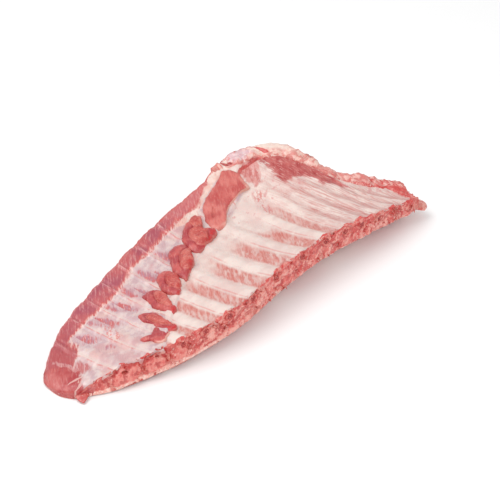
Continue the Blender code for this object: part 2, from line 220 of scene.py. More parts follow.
STRIP_EDGE = (
    (0.00, 0.780), (0.10, 0.805), (0.20, 0.805), (0.26, 0.810), (0.33, 0.870), (0.42, 0.870),
    (0.50, 0.888), (0.60, 0.892), (0.64, 0.945), (0.68, 0.975), (0.70, 0.980),
)
TIP_MUSCLE_END = (
    (0.00, 0.012), (0.09, 0.016), (0.16, 0.028), (0.30, 0.038), (0.46, 0.042), (0.68, 0.034),
    (0.90, 0.014), (1.00, 0.006),
)
TIP_FOLD = ((0.050, 0.26), (0.034, 0.19), (0.020, 0.11), (0.008, 0.06), (-0.010, 0.02))
TIP_BRANCH = ((0.040, 0.22), (0.028, 0.24), (0.014, 0.30))
TIP_STREAKS = ((0.030, 0.86), (0.036, 0.72), (0.043, 0.56), (0.040, 0.40))
GASHES = (
    ((0.716, 1.02), (0.720, 0.975), (0.732, 0.945)),
    ((0.722, 0.850), (0.738, 0.872), (0.757, 0.876), (0.780, 0.884)),
)
STAINS = (
    ((0.168, 0.65), (0.160, 0.56)), ((0.153, 0.53), (0.148, 0.42)),
    ((0.714, 0.66), (0.700, 0.59), (0.686, 0.50)),
)
BLOOD_STREAK = ((0.782, 1.01), (0.793, 0.98), (0.800, 0.95), (0.803, 0.92))
RIM_FILM = ((0.733, 0.965), (0.745, 1.01), (0.777, 1.01), (0.781, 0.93), (0.762, 0.915), (0.742, 0.925))
ACROSS_WIDTH = 150.0
FIELD_REACH = 12.0


def field(distance):
    """A distance in millimetres as a share: 0.5 on a border, 1 well inside it, 0 well outside."""
    return np.clip(0.5 + distance / (2 * FIELD_REACH), 0, 1)


def laid_flat(along, across):
    """Places on the rack as if it lay flat, in millimetres."""
    along, across = np.broadcast_arrays(along, across)
    return np.stack([along * LENGTH_PER_SHARE, across * ACROSS_WIDTH], -1)


def from_lines(here, starts, finishes):
    """Distance from the nearest of some straight lines."""
    nearest = np.inf
    for start, finish in zip(starts, finishes):
        run = finish - start
        share = np.clip(((here - start) @ run) / (run @ run), 0, 1)
        nearest = np.minimum(nearest, np.linalg.norm(here - start - share[..., None] * run, axis=-1))
    return nearest


def from_path(along, across, path):
    """Distance from an open line given in shares, in millimetres."""
    knots = np.array(path) * (LENGTH_PER_SHARE, ACROSS_WIDTH)
    return from_lines(laid_flat(along, across), knots[:-1], knots[1:])


def from_gash(along, across):
    """Distance from the knife's gashes in the breastbone rim, in millimetres."""
    return np.minimum(from_path(along, across, GASHES[0]), from_path(along, across, GASHES[1]))


def inside(along, across, outline):
    """Distance in from an outline given in shares, in millimetres; negative outside it."""
    here = laid_flat(along, across)
    corners = np.array(outline) * (LENGTH_PER_SHARE, ACROSS_WIDTH)
    after = np.roll(corners, -1, axis=0)
    nearest = from_lines(here, corners, after)
    within = np.zeros(nearest.shape, bool)
    for start, finish in zip(corners, after):
        run = finish - start
        crosses = (start[1] > here[..., 1]) != (finish[1] > here[..., 1])
        at = start[0] + (here[..., 1] - start[1]) * run[0] / (run[1] or 1e-9)
        within ^= crosses & (here[..., 0] < at)
    return np.where(within, nearest, -nearest)


def strip_edge(along):
    """Share across where the flank's muscle strip begins."""
    return profile(STRIP_EDGE, along)


def relief(along, across, places):
    """Height of ribs, ledge, strip and loose bumps above the smooth sheet."""
    height = np.zeros(along.shape)
    for line in RIB_LINES:
        height += RIB_CREST * bell((along - rib_centre(line, across)) * LENGTH_PER_SHARE, RIB_CREST_WIDTH)
    height *= 1 - 0.6 * ramp(across, 0.55, 0.75)
    height *= 1 - ramp(across, 0.72 + 0.26 * along, 0.80 + 0.26 * along)
    edge = diaphragm_edge(along)
    beside = ramp(across, edge - 0.005, edge + 0.02) * (1 - ramp(across, edge + 0.05, edge + LEDGE_FADE))
    height += LEDGE_HEIGHT * beside * ramp(along, 0.16, 0.20) * (1 - ramp(along, 0.68, 0.74))
    plan = places[..., :2]
    height += 0.45 * bumps(plan, 17, 1) + 0.22 * bumps(plan, 7, 2) + 0.10 * bumps(plan, 2.6, 3)
    rim = ramp(along, 0.68, 0.71) * (1 - ramp(along, 0.90, 0.96)) * ramp(across, 0.84, 0.90)
    height += rim * (1.3 * bumps(plan, 8, 4) + 0.7 * bumps(plan, 3.5, 5))
    neck = ramp(along, 0.90, 0.95) * ramp(across, 0.70, 0.82)
    height += neck * (0.9 * bumps(plan, 6, 6) + 0.5 * bumps(plan, 2.5, 7))
    strip = ramp(across, strip_edge(along) - 0.01, strip_edge(along) + 0.02) * (1 - ramp(along, 0.66, 0.72))
    height += strip * (0.5 + 0.25 * bumps(plan * (1, 0.15), 1.8, 8))
    height -= 1.3 * ramp(across, 0.965, 1.0) ** 2 + 4.5 * np.clip(1 - along / 0.035, 0, 1) ** 2
    height += 1.3 * bell(from_path(along, across, TIP_FOLD), 1.8)
    height -= 1.6 * bell(from_gash(along, across), 1.8)
    height -= 0.7 * windows(along, across) * (across < strip_edge(along))
    phase = rib_phase(along, across)
    from_line = np.abs(phase - np.round(phase))
    outside = ramp(across, edge + 0.02, edge + 0.08) * (1 - ramp(along, 0.50, 0.60))
    return height + (0.5 * bell(from_line, 0.05) - 0.7 * bell(from_line - 0.10, 0.05)) * outside


def bone_side(along, across):
    """The bone side with its relief, and the flank's edge scalloped between the ribs."""
    along, across = np.broadcast_arrays(np.asarray(along, float), np.asarray(across, float))
    points = sheet(along, across)
    height = relief(along, across, points)
    wave = np.abs(np.sin(math.pi * rib_phase(along, across))) ** 0.7
    scallop = 1.4 * wave - 1.0 + 0.5 * bumps(points[..., :2], 5, 9)
    scallop = scallop * ramp(across, 0.90, 1.0) * (1 - ramp(along, 0.66, 0.70)) * ramp(along, 0.02, 0.06)
    points[..., 0] -= 0.3 * scallop
    points[..., 1] += scallop
    points[..., 2] += height
    return points


def underside_height(along, across):
    """Height of the meat side: flat on the table along the middle, curling up to its rim."""
    flank = curve(FLANK_EDGE, along)[..., 2] - profile(FLANK_THICKNESS, along)
    curls = (
        profile(SAWN_FACE_FOOT, along) * np.clip(1 - across / BELLY_REACH_SAWN, 0, 1) ** 2,
        np.clip(flank, 0, None) * np.clip(1 - (1 - across) / BELLY_REACH_FLANK, 0, 1) ** 2,
        NECK_END_FOOT * np.clip(1 - (1 - along) / BELLY_REACH_NECK, 0, 1) ** 2,
    )
    return sum(curl**3 for curl in curls) ** (1 / 3)


FAN = (
    (0.778, 0.93), (0.800, 0.92), (0.830, 0.88), (0.850, 0.82), (0.872, 0.74), (0.892, 0.62),
    (0.892, 0.53), (0.868, 0.50), (0.842, 0.535), (0.830, 0.60), (0.817, 0.655), (0.800, 0.635),
    (0.779, 0.62), (0.775, 0.70), (0.784, 0.80),
)
VEIL = (
    (0.722, 0.78), (0.729, 0.71), (0.746, 0.715), (0.759, 0.775), (0.771, 0.84), (0.773, 0.90),
    (0.745, 0.90), (0.727, 0.86),
)
WHITE_WEDGE = (
    (0.500, 0.885), (0.525, 0.845), (0.560, 0.815), (0.580, 0.86), (0.620, 0.905), (0.660, 0.93),
    (0.700, 0.935), (0.722, 0.93), (0.728, 0.965), (0.700, 0.985), (0.662, 0.985), (0.640, 0.955),
    (0.615, 0.925), (0.590, 0.897), (0.563, 0.885), (0.540, 0.893),
)


def windows(along, across):
    """Where the fascia between two ribs is thin and dark muscle shows through, 0 to 1."""
    phase = rib_phase(along, across)
    past_line = phase - np.floor(phase)
    middle = 0.33 + 0.14 * (1 - ramp(phase, 3.5, 4.5)) + 1.7 * (0.70 - across)
    from_middle = np.hypot((past_line - middle) / 0.42, (across - 0.70) / 0.21)
    shown = (1 - ramp(from_middle, 0.35, 1.1)) * ramp(phase, 0.9, 1.3) * (1 - ramp(phase, 6.8, 7.2))
    first = 0.9 * (1 - ramp(np.hypot((phase - 0.72) / 0.27, (across - 0.40) / 0.20), 0.4, 1.1))
    second = 0.6 * (1 - ramp(np.hypot((phase - 1.75) / 0.25, (across - 0.38) / 0.08), 0.4, 1.1))
    return np.maximum(shown, np.maximum(first, second))


def flesh_bands(along, across):
    """Strength of the pink bands of rib muscle seen through the membrane, 0 to 1."""
    phase = rib_phase(along, across)
    past_line = phase - np.floor(phase)
    band = ramp(past_line, 0.34, 0.50) * (1 - ramp(past_line, 0.84, 0.97))
    reach = 0.51 - 0.10 * ramp(along, 0.56, 0.68)
    reach = reach + 0.12 * bumps(np.stack([along * LENGTH_PER_SHARE, across * 60], -1), 16, 17)
    to_saw = 1 - ramp(across, reach - 0.16, reach + 0.10)
    return band * np.maximum(to_saw, 0.5 * ramp(along, 0.70, 0.78))


def rim_shares(steps_along, steps_across):
    """Shares of the points right round the sheet's edge, starting at the sawn corner of the tip."""
    a = np.linspace(0, 1, steps_along + 1)
    c = np.linspace(0, 1, steps_across + 1)
    along = np.concatenate([a[:-1], np.ones(steps_across), a[:0:-1], np.zeros(steps_across)])
    across = np.concatenate([np.zeros(steps_along), c[:-1], np.ones(steps_along), c[:0:-1]])
    return along, across


def rim_index(steps_along, steps_across):
    """Grid indices of the same points, for a grid stored along first."""
    width = steps_across + 1
    sawn = [i * width for i in range(steps_along)]
    neck = [steps_along * width + j for j in range(steps_across)]
    flank = [i * width + steps_across for i in range(steps_along, 0, -1)]
    tip = [j for j in range(steps_across, 0, -1)]
    return sawn + neck + flank + tip


def rim_offset(along, across, down, inset=0.0):
    """How far out the rim wall stands from the bone side's edge, at a share down the wall."""
    on_sawn = (1 - ramp(across, 0.0, 0.25)) * (1 - ramp(along, 0.97, 1.0))
    on_flank = ramp(across, 0.5, 1.0)
    at_tip = 1 - ramp(along, 0.0, 0.07)
    at_neck = ramp(along, 0.93, 1.0) * (1 - on_flank)
    bulge = FLANK_BULGE * on_flank + NECK_BULGE * at_neck
    lean = FLANK_UNDERCUT * on_flank * (1 - at_tip) + TIP_LEAN * at_tip * (1 - 0.8 * on_flank)
    lean = lean + SAWN_LEAN_NEAR_TIP * on_sawn * (1 - ramp(along, 0.05, 0.30)) * (1 - at_tip)
    hollow = inset * on_sawn * ramp(along, 0.02, 0.05) * np.sin(math.pi * down) ** 0.5
    return bulge * np.sin(math.pi * down) + lean * down + hollow


def outward_of(edge):
    """Unit vectors in plan, square to a closed edge."""
    before = np.roll(edge, 3, axis=0)
    after = np.roll(edge, -3, axis=0)
    return unit(np.stack([after[:, 1] - before[:, 1], before[:, 0] - after[:, 0]], axis=-1))


def grid_faces(steps_along, steps_across, start, upward):
    """Faces of a grid of points whose first one is number start."""
    i, j = np.meshgrid(np.arange(steps_along), np.arange(steps_across), indexing="ij")
    a = start + i * (steps_across + 1) + j
    order = (a, a + steps_across + 1, a + steps_across + 2, a + 1)
    order = order if upward else order[::-1]
    return np.stack(order, -1).reshape(-1, 4).tolist()


def span(rim, steps_along, steps_across):
    """A grid of points spanned inside a closed rim."""
    sawn = rim[:steps_along + 1]
    neck = rim[steps_along:steps_along + steps_across + 1]
    flank = rim[steps_along + steps_across:2 * steps_along + steps_across + 1][::-1]
    tip = np.concatenate([rim[2 * steps_along + steps_across:], rim[:1]])[::-1]
    a = np.linspace(0, 1, steps_along + 1)[:, None, None]
    c = np.linspace(0, 1, steps_across + 1)[None, :, None]
    lengthwise = (1 - c) * sawn[:, None] + c * flank[:, None]
    crosswise = (1 - a) * tip[None] + a * neck[None]
    corners = (
        (1 - a) * (1 - c) * sawn[0] + a * (1 - c) * sawn[-1] + (1 - a) * c * flank[0] + a * c * flank[-1]
    )
    return lengthwise + crosswise - corners


def make_piece(name, points, faces, **measures):
    """A smooth mesh from points in millimetres, kept inside the model's box, with its point measures."""
    places = (np.asarray(points) - BOX_MIDDLE) * MM
    near = SOFT_LIMIT * MM
    over = np.clip(places - (cad_high - near), 0, None)
    under = np.clip((cad_low + near) - places, 0, None) * (1, 1, 0)
    places = places - over + near * np.tanh(over / near) + under - near * np.tanh(under / near)
    places = np.clip(places, cad_low, cad_high)
    mesh = bpy.data.meshes.new(name)
    mesh.from_pydata(places.tolist(), [], faces)
    mesh.update()
    mesh.shade_smooth()
    for label, values in measures.items():
        layer = mesh.attributes.new(label, "FLOAT", "POINT")
        layer.data.foreach_set("value", np.asarray(values, np.float32).ravel())
    piece = bpy.data.objects.new(name, mesh)
    bpy.context.scene.collection.objects.link(piece)
    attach(piece, "root")
    return piece


def rack_measures(along, across):
    """What the rack's material reads at each point: shares, the rib's angle, and fields of borders."""
    turn = 2 * math.pi * rib_phase(along, across)
    from_edge = (diaphragm_edge(along) - across) * ACROSS_WIDTH
    from_strip = (across - strip_edge(along)) * ACROSS_WIDTH
    past_tip = (along - 0.185) * LENGTH_PER_SHARE
    before_rim = (0.695 - along) * LENGTH_PER_SHARE
    tip_end = (profile(TIP_MUSCLE_END, across) - along) * LENGTH_PER_SHARE
    upper_tip = np.minimum((0.088 - along) * LENGTH_PER_SHARE, (across - 0.33 - 3.7 * along) * ACROSS_WIDTH)
    past_rim = (across - 0.895 + 0.5 * (along - 0.78)) * ACROSS_WIDTH
    rim_fat = np.minimum((along - 0.69) * LENGTH_PER_SHARE, past_rim)
    edge_fat = 1 - ramp(np.abs(from_edge + 5), 2.5, 7)
    edge_fat = edge_fat * ramp(along, 0.22, 0.26) * (1 - ramp(along, 0.50, 0.56))
    folds = np.minimum(from_path(along, across, TIP_FOLD), from_path(along, across, TIP_BRANCH))
    stains = np.minimum.reduce([from_path(along, across, stain) for stain in STAINS])
    return {
        "along": along, "across": across, "rib_sine": np.sin(turn), "rib_cosine": np.cos(turn),
        "flesh": flesh_bands(along, across), "window": windows(along, across) * (from_strip < 0),
        "lung": field(np.where(along < 0.70, np.minimum(from_edge, past_tip), FIELD_REACH)),
        "edge_fat": edge_fat, "tip": field(tip_end), "fold": 1 - ramp(folds, 0.3, 4.5),
        "strip": field(np.maximum(np.minimum(from_strip, before_rim), upper_tip)),
        "streak": 1 - ramp(from_path(along, across, TIP_STREAKS), 0.3, 3.6),
        "gash": 1 - ramp(from_gash(along, across), 0.3, 3.2), "stain": 1 - ramp(stains, 0.5, 9.0),
        "fan": field(inside(along, across, FAN)), "veil": field(inside(along, across, VEIL)),
        "fat": field(np.maximum(rim_fat, inside(along, across, WHITE_WEDGE))),
    }


def whole_rack():
    """The rack as one closed mesh: the bone side, the wall round its rim, and the meat side."""
    along, across = np.meshgrid(
        np.linspace(0, 1, STEPS_ALONG + 1), np.linspace(0, 1, STEPS_ACROSS + 1), indexing="ij"
    )
    top = bone_side(along, across)
    rim_along, rim_across = rim_shares(STEPS_ALONG, STEPS_ACROSS)
    edge = bone_side(rim_along, rim_across)
    outward = outward_of(edge)
    foot = underside_height(rim_along, rim_across)
    rings, downs = [], []
    for step in range(1, WALL_STEPS + 1):
        down = step / WALL_STEPS
        ring = edge.copy()
        rough = 0.7 * bumps(edge + (0, 0, 9 * step), 9, 11) + 0.3 * bumps(edge + (0, 0, 3 * step), 3, 12)
        out = rim_offset(rim_along, rim_across, down, SAWN_INSET) + rough * math.sin(math.pi * down)
        ring[:, :2] += outward * out[:, None]
        ring[:, 2] += (foot - edge[:, 2]) * down
        rings.append(ring)
        downs.append(np.full(len(ring), down))
    half_along, half_across = STEPS_ALONG // 2, STEPS_ACROSS // 2
    under = span(rings[-1][::2], half_along, half_across)
    under_along, under_across = along[::2, ::2], across[::2, ::2]
    under[..., 2] = underside_height(under_along, under_across)
    plan = under[..., :2]
    loose = 0.8 * bumps(plan, 22, 13) + 0.3 * bumps(plan * (0.3, 1), 4, 14)
    under[..., 2] += ramp(under[..., 2], 0.3, 5.0) * loose
    around = len(rim_along)
    faces = grid_faces(STEPS_ALONG, STEPS_ACROSS, 0, True)
    above = rim_index(STEPS_ALONG, STEPS_ACROSS)
    start = top[..., 0].size
    for _ in rings[:-1]:
        below = [start + k for k in range(around)]
        for k in range(around):
            n = (k + 1) % around
            faces.append((above[k], below[k], below[n], above[n]))
        above = below
        start += around
    foot_index = [start + k for k in rim_index(half_along, half_across)]
    for k in range(around // 2):
        a, b, c = above[2 * k], above[2 * k + 1], above[(2 * k + 2) % around]
        p, q = foot_index[k], foot_index[(k + 1) % (around // 2)]
        faces += [(a, p, b), (p, q, b), (b, q, c)]
    faces += grid_faces(half_along, half_across, start, False)
    points = np.concatenate([top.reshape(-1, 3), *rings[:-1], under.reshape(-1, 3)])
    alongs = np.concatenate([along.ravel(), np.tile(rim_along, WALL_STEPS - 1), under_along.ravel()])
    acrosses = np.concatenate([across.ravel(), np.tile(rim_across, WALL_STEPS - 1), under_across.ravel()])
    down = np.concatenate([np.zeros(along.size), *downs[:-1], np.ones(under_along.size)])
    return make_piece("rack_meat", points, faces, down=down, **rack_measures(alongs, acrosses))


class Shade:
    """A number, colour or vector on its way through a material's nodes."""

    def __init__(self, tree, socket):
        self.tree = tree
        self.socket = socket

    def node(self, kind, settings, sockets, output=0):
        """Adds a node, sets it up, gives its sockets values or links, and returns one of its outputs."""
        made = self.tree.nodes.new(kind)
        for name, value in settings.items():
            setattr(made, name, value)
        for name, value in sockets.items():
            if isinstance(value, Shade):
                self.tree.links.new(value.socket, made.inputs[name])
            else:
                made.inputs[name].default_value = value
        return Shade(self.tree, made.outputs[output])

    def math(self, operation, *values):
        return self.node("ShaderNodeMath", {"operation": operation}, dict(enumerate((self, *values))))

    def __add__(self, other):
        return self.math("ADD", other)

    __radd__ = __add__

    def __mul__(self, other):
        return self.math("MULTIPLY", other)

    __rmul__ = __mul__

    def __sub__(self, other):
        return self.math("SUBTRACT", other)

    def __rsub__(self, other):
        return self.node("ShaderNodeMath", {"operation": "SUBTRACT"}, {0: other, 1: self})

    def ramp(self, low, high):
        """0 at low, 1 at high, smooth between."""
        return self.node(
            "ShaderNodeMapRange", {"interpolation_type": "SMOOTHSTEP"},
            {"Value": self, "From Min": low, "From Max": high},
        )

    def fall(self, low, high):
        """1 at low, 0 at high, smooth between."""
        return 1 - self.ramp(low, high)

    def near(self, middle, low, high):
        """1 where this is less than low from a middle value, 0 where it is more than high from it."""
        return (self - middle).math("ABSOLUTE").fall(low, high)

    def sway(self, reach):
        """From half of reach below nothing to half of it above, as this goes from 0 to 1."""
        return (self - 0.5) * reach

    def over(self, colour, other):
        """Mixes from colour to other where this mask is 1."""
        settings = {"data_type": "RGBA", "clamp_factor": True}
        return self.node("ShaderNodeMix", settings, {0: self, 6: colour, 7: other}, 2)

    def painted(self, *coats):
        """This colour under coats, each a mask and the colour that shows where the mask is 1."""
        surface = self
        for mask, colour in coats:
            surface = mask.over(surface, colour)
        return surface

    def mix(self, value, other):
        """Goes from one number to another as this mask goes from 0 to 1."""
        return self.node("ShaderNodeMix", {"data_type": "FLOAT"}, {0: self, 2: value, 3: other})

    def grain(self, width, stretch=1, turn=0, detail=2.0):
        """Noise from 0 to 1: grains width millimetres wide, stretched along an axis turned in degrees."""
        place = self.node(
            "ShaderNodeMapping", {"vector_type": "TEXTURE"},
            {
                "Vector": self, "Rotation": (0, 0, math.radians(turn)),
                "Scale": (width * stretch, width, width),
            },
        )
        return self.node(
            "ShaderNodeTexNoise", {}, {"Vector": place, "Scale": 1.0, "Detail": detail, "Roughness": 0.55},
        )


FIBRE_TURN = 52
STUDIO_LIGHT = 1.08
LIGHT_ON_WALLS = 1.0
WET_SHEEN = 0.055


def tint(red, green, blue, light=STUDIO_LIGHT):
    """A colour as it looks wet in the studio light, 0 to 255, as the linear colour that a shader takes."""
    parts = (red / 255, green / 255, blue / 255)
    linear = (((part + 0.055) / 1.055) ** 2.4 if part > 0.04045 else part / 12.92 for part in parts)
    return (*(min(max(part - WET_SHEEN, 0.004) / light, 0.98) for part in linear), 1.0)


def wall_tint(red, green, blue):
    """The same on the sawn face, which gets less light."""
    return tint(red, green, blue, LIGHT_ON_WALLS)


def start_material(name, roughness, coat):
    """A new moist material, its shader node, the place in millimetres, and a reader of point measures."""
    material = bpy.data.materials.new(name)
    material.use_nodes = True
    tree = material.node_tree
    shader = tree.nodes["Principled BSDF"]
    shader.inputs["Roughness"].default_value = roughness
    shader.inputs["Coat Weight"].default_value = coat
    shader.inputs["Coat Roughness"].default_value = 0.22
    shader.inputs["Subsurface Weight"].default_value = 0.10
    shader.inputs["Subsurface Radius"].default_value = (1.0, 0.35, 0.25)
    shader.inputs["Subsurface Scale"].default_value = 0.0025
    start = Shade(tree, None)
    local = start.node("ShaderNodeTexCoord", {}, {}, "Object")
    place = local.node("ShaderNodeVectorMath", {"operation": "SCALE"}, {0: local, "Scale": 1 / MM})

    def measure(label):
        return start.node("ShaderNodeAttribute", {"attribute_name": label}, {}, "Fac")

    return material, shader, place, measure


def finish_surface(shader, place, colour, height, depth, roughness=None):
    """Plugs in the colour, and a bump whose height is given in shares of depth millimetres."""
    tree = place.tree
    tree.links.new(colour.socket, shader.inputs["Base Color"])
    bump = place.node("ShaderNodeBump", {}, {"Height": height, "Distance": depth * MM, "Strength": 1.0})
    tree.links.new(bump.socket, shader.inputs["Normal"])
    if roughness is not None:
        tree.links.new(roughness.socket, shader.inputs["Roughness"])


def rack_material():
    """The rack's skin: pleura near the saw cut, fascia past the diaphragm, then muscle, fat and belly."""
    material, shader, place, measure = start_material("raw_rack", 0.42, 0.35)
    along, across, down = measure("along"), measure("across"), measure("down")
    phase = measure("rib_sine").math("ARCTAN2", measure("rib_cosine")) * (1 / (2 * math.pi))
    cloud = place.grain(13.0)
    wide = place.grain(36.0, detail=1.0)
    fine = place.grain(1.8, detail=3.0)
    strands = place.grain(1.5, stretch=9, turn=FIBRE_TURN)
    broad_strands = place.grain(3.4, stretch=4.5, turn=FIBRE_TURN)
    rib_strands = place.grain(1.7, stretch=14, turn=96, detail=2.5)
    patchy = place.grain(6.0, stretch=1.8, turn=30, detail=3.0)

    neckward = along.ramp(0.66, 0.80)
    cream = cloud.ramp(0.35, 0.65).over(tint(236, 218, 210), tint(226, 203, 196))
    cream = (wide.ramp(0.50, 0.66) * 0.5).over(cream, tint(224, 192, 186))
    cream = (patchy.ramp(0.60, 0.72) * 0.35).over(cream, tint(212, 184, 188))
    band = measure("flesh")
    streaked = band * (0.42 + 0.80 * broad_strands.ramp(0.30, 0.62))
    threads = place.grain(1.1, stretch=26, turn=98)
    anterior = band * 0.45 + rib_strands.ramp(0.44, 0.62) * 0.62 + threads.ramp(0.55, 0.68) * 0.35
    anterior = anterior * (1 - 0.65 * across.ramp(0.50, 0.72))
    flesh = neckward.mix(streaked, anterior)
    flesh_colour = strands.ramp(0.36, 0.66).over(tint(218, 152, 144), tint(205, 122, 112))
    flesh_colour = neckward.over(flesh_colour, tint(206, 138, 132))
    pleura = (flesh * (0.60 + 0.6 * cloud)).over(cream, flesh_colour)
    blush = patchy.ramp(0.56, 0.66) * across.near(0.62, 0.06, 0.16) * along.ramp(0.52, 0.60)
    pleura = (blush * 0.55).over(pleura, tint(214, 146, 144))
    vein = phase.math("ABSOLUTE").fall(0.008, 0.036)
    vein = vein * (across + patchy.sway(0.5)).fall(0.34, 0.62) * cloud.ramp(0.34, 0.56)
    pleura = (vein * (0.50 - 0.25 * neckward)).over(pleura, tint(222, 128, 124))

    fascia = patchy.ramp(0.38, 0.64).over(tint(224, 202, 199), tint(204, 174, 178))
    fascia = fascia.painted(
        (cloud.ramp(0.48, 0.66) * 0.55, tint(230, 202, 192)),
        (cloud.fall(0.34, 0.48) * 0.45, tint(206, 168, 170)),
        ((wide + patchy * 0.3).ramp(0.70, 0.82) * 0.45, tint(214, 158, 156)),
    )
    window = measure("window")
    haze = (window + patchy.sway(0.4) + broad_strands.sway(0.4)).ramp(0.08, 0.60)
    near_tip = along.fall(0.06, 0.10)
    fascia = (haze * 0.70).over(fascia, near_tip.over(tint(210, 178, 181), tint(204, 160, 160)))
    low_side = phase.fall(0.16, 0.42)
    bare_share = window * (0.58 + 0.42 * low_side) + broad_strands.sway(1.1) + strands.sway(1.0)
    bare = low_side * (cloud + strands - 0.5).ramp(0.34, 0.56)
    bare = bare.over(tint(184, 130, 142), tint(200, 98, 98))
    bare = near_tip.over(bare, tint(196, 112, 112))
    fascia = (bare_share.ramp(0.42, 0.86) * 0.90).over(fascia, bare)
    fascia = (window.ramp(0.3, 0.6) * strands.ramp(0.56, 0.66) * 0.55).over(fascia, tint(232, 208, 206))
    beside = phase + cloud.sway(0.07)
    # A cream stripe on the ridge beside each vessel line: partly the ridge's own pale colour, partly a
    # painted highlight on it.
    ridge = beside.near(0.05, 0.02, 0.10)
    fascia = (ridge * 0.55).over(fascia, tint(236, 216, 208))
    line = beside.near(-0.012, 0.008, 0.028)
    fascia = (line * (0.10 + 0.50 * (cloud + patchy).ramp(0.88, 1.12))).over(fascia, tint(214, 120, 116))
    lung = (measure("lung") + patchy.sway(0.35) + cloud.sway(0.2)).ramp(0.44, 0.56)
    surface = lung.over(fascia, pleura)
    edge_fat = (measure("edge_fat") + patchy.sway(1.5) + cloud.sway(1.2)).ramp(0.35, 0.85)
    surface = (edge_fat * 0.70).over(surface, tint(236, 214, 206))

    stain = measure("stain").ramp(0.05, 0.90) * (broad_strands + fine.sway(0.7)).ramp(0.46, 0.62)
    surface = (stain * 0.72).over(surface, tint(212, 116, 112))

    in_from_border = measure("strip") + broad_strands.sway(0.35) + cloud.sway(0.25)
    strip = (wide + cloud.sway(0.5)).ramp(0.34, 0.64).over(tint(194, 104, 106), tint(174, 92, 104))
    strip = strip.painted(
        (along.ramp(0.42, 0.60), tint(208, 122, 122)),
        (in_from_border.fall(0.56, 0.80) * 0.85, tint(210, 106, 100)),
        (strands.ramp(0.50, 0.70) * 0.50, tint(226, 172, 168)),
        (strands.fall(0.30, 0.44) * 0.35, tint(168, 74, 84)),
        (line * 0.35 * cloud.ramp(0.40, 0.55), tint(232, 196, 190)),
        ((1 - across).fall(0.0, 0.03) * 0.6, tint(204, 98, 90)),
        (along.fall(0.05, 0.15) * 0.65, tint(178, 88, 90)),
    )
    fringe = in_from_border.near(0.50, 0.03, 0.16) * strands.ramp(0.40, 0.56)
    surface = in_from_border.ramp(0.46, 0.54).over(surface, strip)
    surface = (fringe * 0.65).over(surface, tint(238, 208, 200))

    tip_meat = (cloud + wide.sway(0.9)).ramp(0.32, 0.66).over(tint(200, 110, 107), tint(178, 75, 78))
    tip_meat = tip_meat.painted(
        (strands.ramp(0.52, 0.68) * 0.45, tint(212, 143, 138)),
        (broad_strands.fall(0.32, 0.46) * 0.45, tint(176, 66, 70)),
        ((patchy + cloud * 0.3).ramp(0.78, 0.86) * 0.7, tint(232, 192, 182)),
    )
    sinew = (measure("fold") + patchy.sway(1.2) + strands.sway(0.6)).ramp(0.42, 0.80)
    tip_meat = (sinew * 0.65).over(tip_meat, tint(234, 196, 188))
    tip_share = (measure("tip") + patchy.sway(0.6) + strands.sway(0.3)).ramp(0.42, 0.58)
    surface = tip_share.over(surface, tip_meat)
    streak = (measure("streak") + patchy.sway(1.1)).ramp(0.50, 0.85) * strands.ramp(0.35, 0.55)
    surface = (streak * 0.42).over(surface, tint(230, 190, 188))

    fan = (cloud + broad_strands.sway(0.8)).ramp(0.30, 0.70).over(tint(200, 114, 110), tint(179, 86, 86))
    fan = (rib_strands.ramp(0.52, 0.66) * 0.48).over(fan, tint(216, 152, 146))
    fan = (threads.ramp(0.60, 0.68) * 0.50).over(fan, tint(234, 196, 188))
    fan_share = measure("fan") + rib_strands.sway(0.65) + cloud.sway(0.4)
    surface = fan_share.ramp(0.40, 0.62).over(surface, fan)
    veil = (cloud + broad_strands.sway(0.9)).ramp(0.36, 0.60).over(tint(196, 102, 98), tint(216, 148, 143))
    veil = (strands.ramp(0.56, 0.68) * 0.5).over(veil, tint(232, 200, 197))
    veil_share = (measure("veil") + broad_strands.sway(0.4) + patchy.sway(0.3)).ramp(0.42, 0.60)
    surface = (veil_share * 0.88).over(surface, veil)

    fat = cloud.ramp(0.40, 0.62).over(tint(242, 220, 210), tint(234, 192, 180))
    fat = (strands.ramp(0.56, 0.68) * 0.4).over(fat, tint(222, 160, 150))
    surface = (measure("fat") + patchy.sway(0.3)).ramp(0.46, 0.54).over(surface, fat)
    neck_edge = (along + patchy.sway(0.008)).ramp(0.984, 0.990)
    surface = neck_edge.over(surface, strands.ramp(0.40, 0.60).over(tint(196, 72, 70), tint(224, 130, 122)))
    # Dark red along the knife's gashes under the breastbone rim's lip: blood, and painted shade in the gap
    # under the lip.
    gash = (measure("gash") + patchy.sway(0.9)).ramp(0.30, 0.80)
    surface = (gash * 0.9).over(surface, strands.ramp(0.4, 0.6).over(tint(176, 58, 60), tint(202, 92, 88)))

    belly = cloud.ramp(0.36, 0.62).over(tint(206, 104, 96), tint(216, 132, 122))
    belly = (broad_strands.fall(0.34, 0.50) * 0.5).over(belly, tint(188, 88, 84))
    fat_sheet = wide * 0.75 + cloud * 0.25 + strands.sway(0.30) + broad_strands.sway(0.25)
    belly = (fat_sheet.ramp(0.50, 0.64) * 0.92).over(belly, tint(236, 208, 196))
    belly = (strands.ramp(0.56, 0.70) * 0.4).over(belly, tint(232, 192, 182))
    flank_wall = cloud.ramp(0.35, 0.65).over(tint(200, 98, 92), tint(214, 132, 120))
    flank_wall = (fine.ramp(0.55, 0.70) * 0.5).over(flank_wall, tint(230, 176, 164))
    flank_wall = along.ramp(0.02, 0.06).over(tip_meat, flank_wall)
    surface = down.ramp(0.05, 0.4).over(surface, flank_wall)
    surface = (down + cloud.sway(0.3)).ramp(0.80, 1.0).over(surface, belly)

    height = fine * 0.35 + strands * 0.45 + patchy * 0.5 + (broad_strands * flesh) * 0.3
    finish_surface(shader, place, surface, height, 0.8, 0.27 + 0.22 * cloud)
    return material


rack = whole_rack()
rack.data.materials.append(rack_material())
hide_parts("meat")

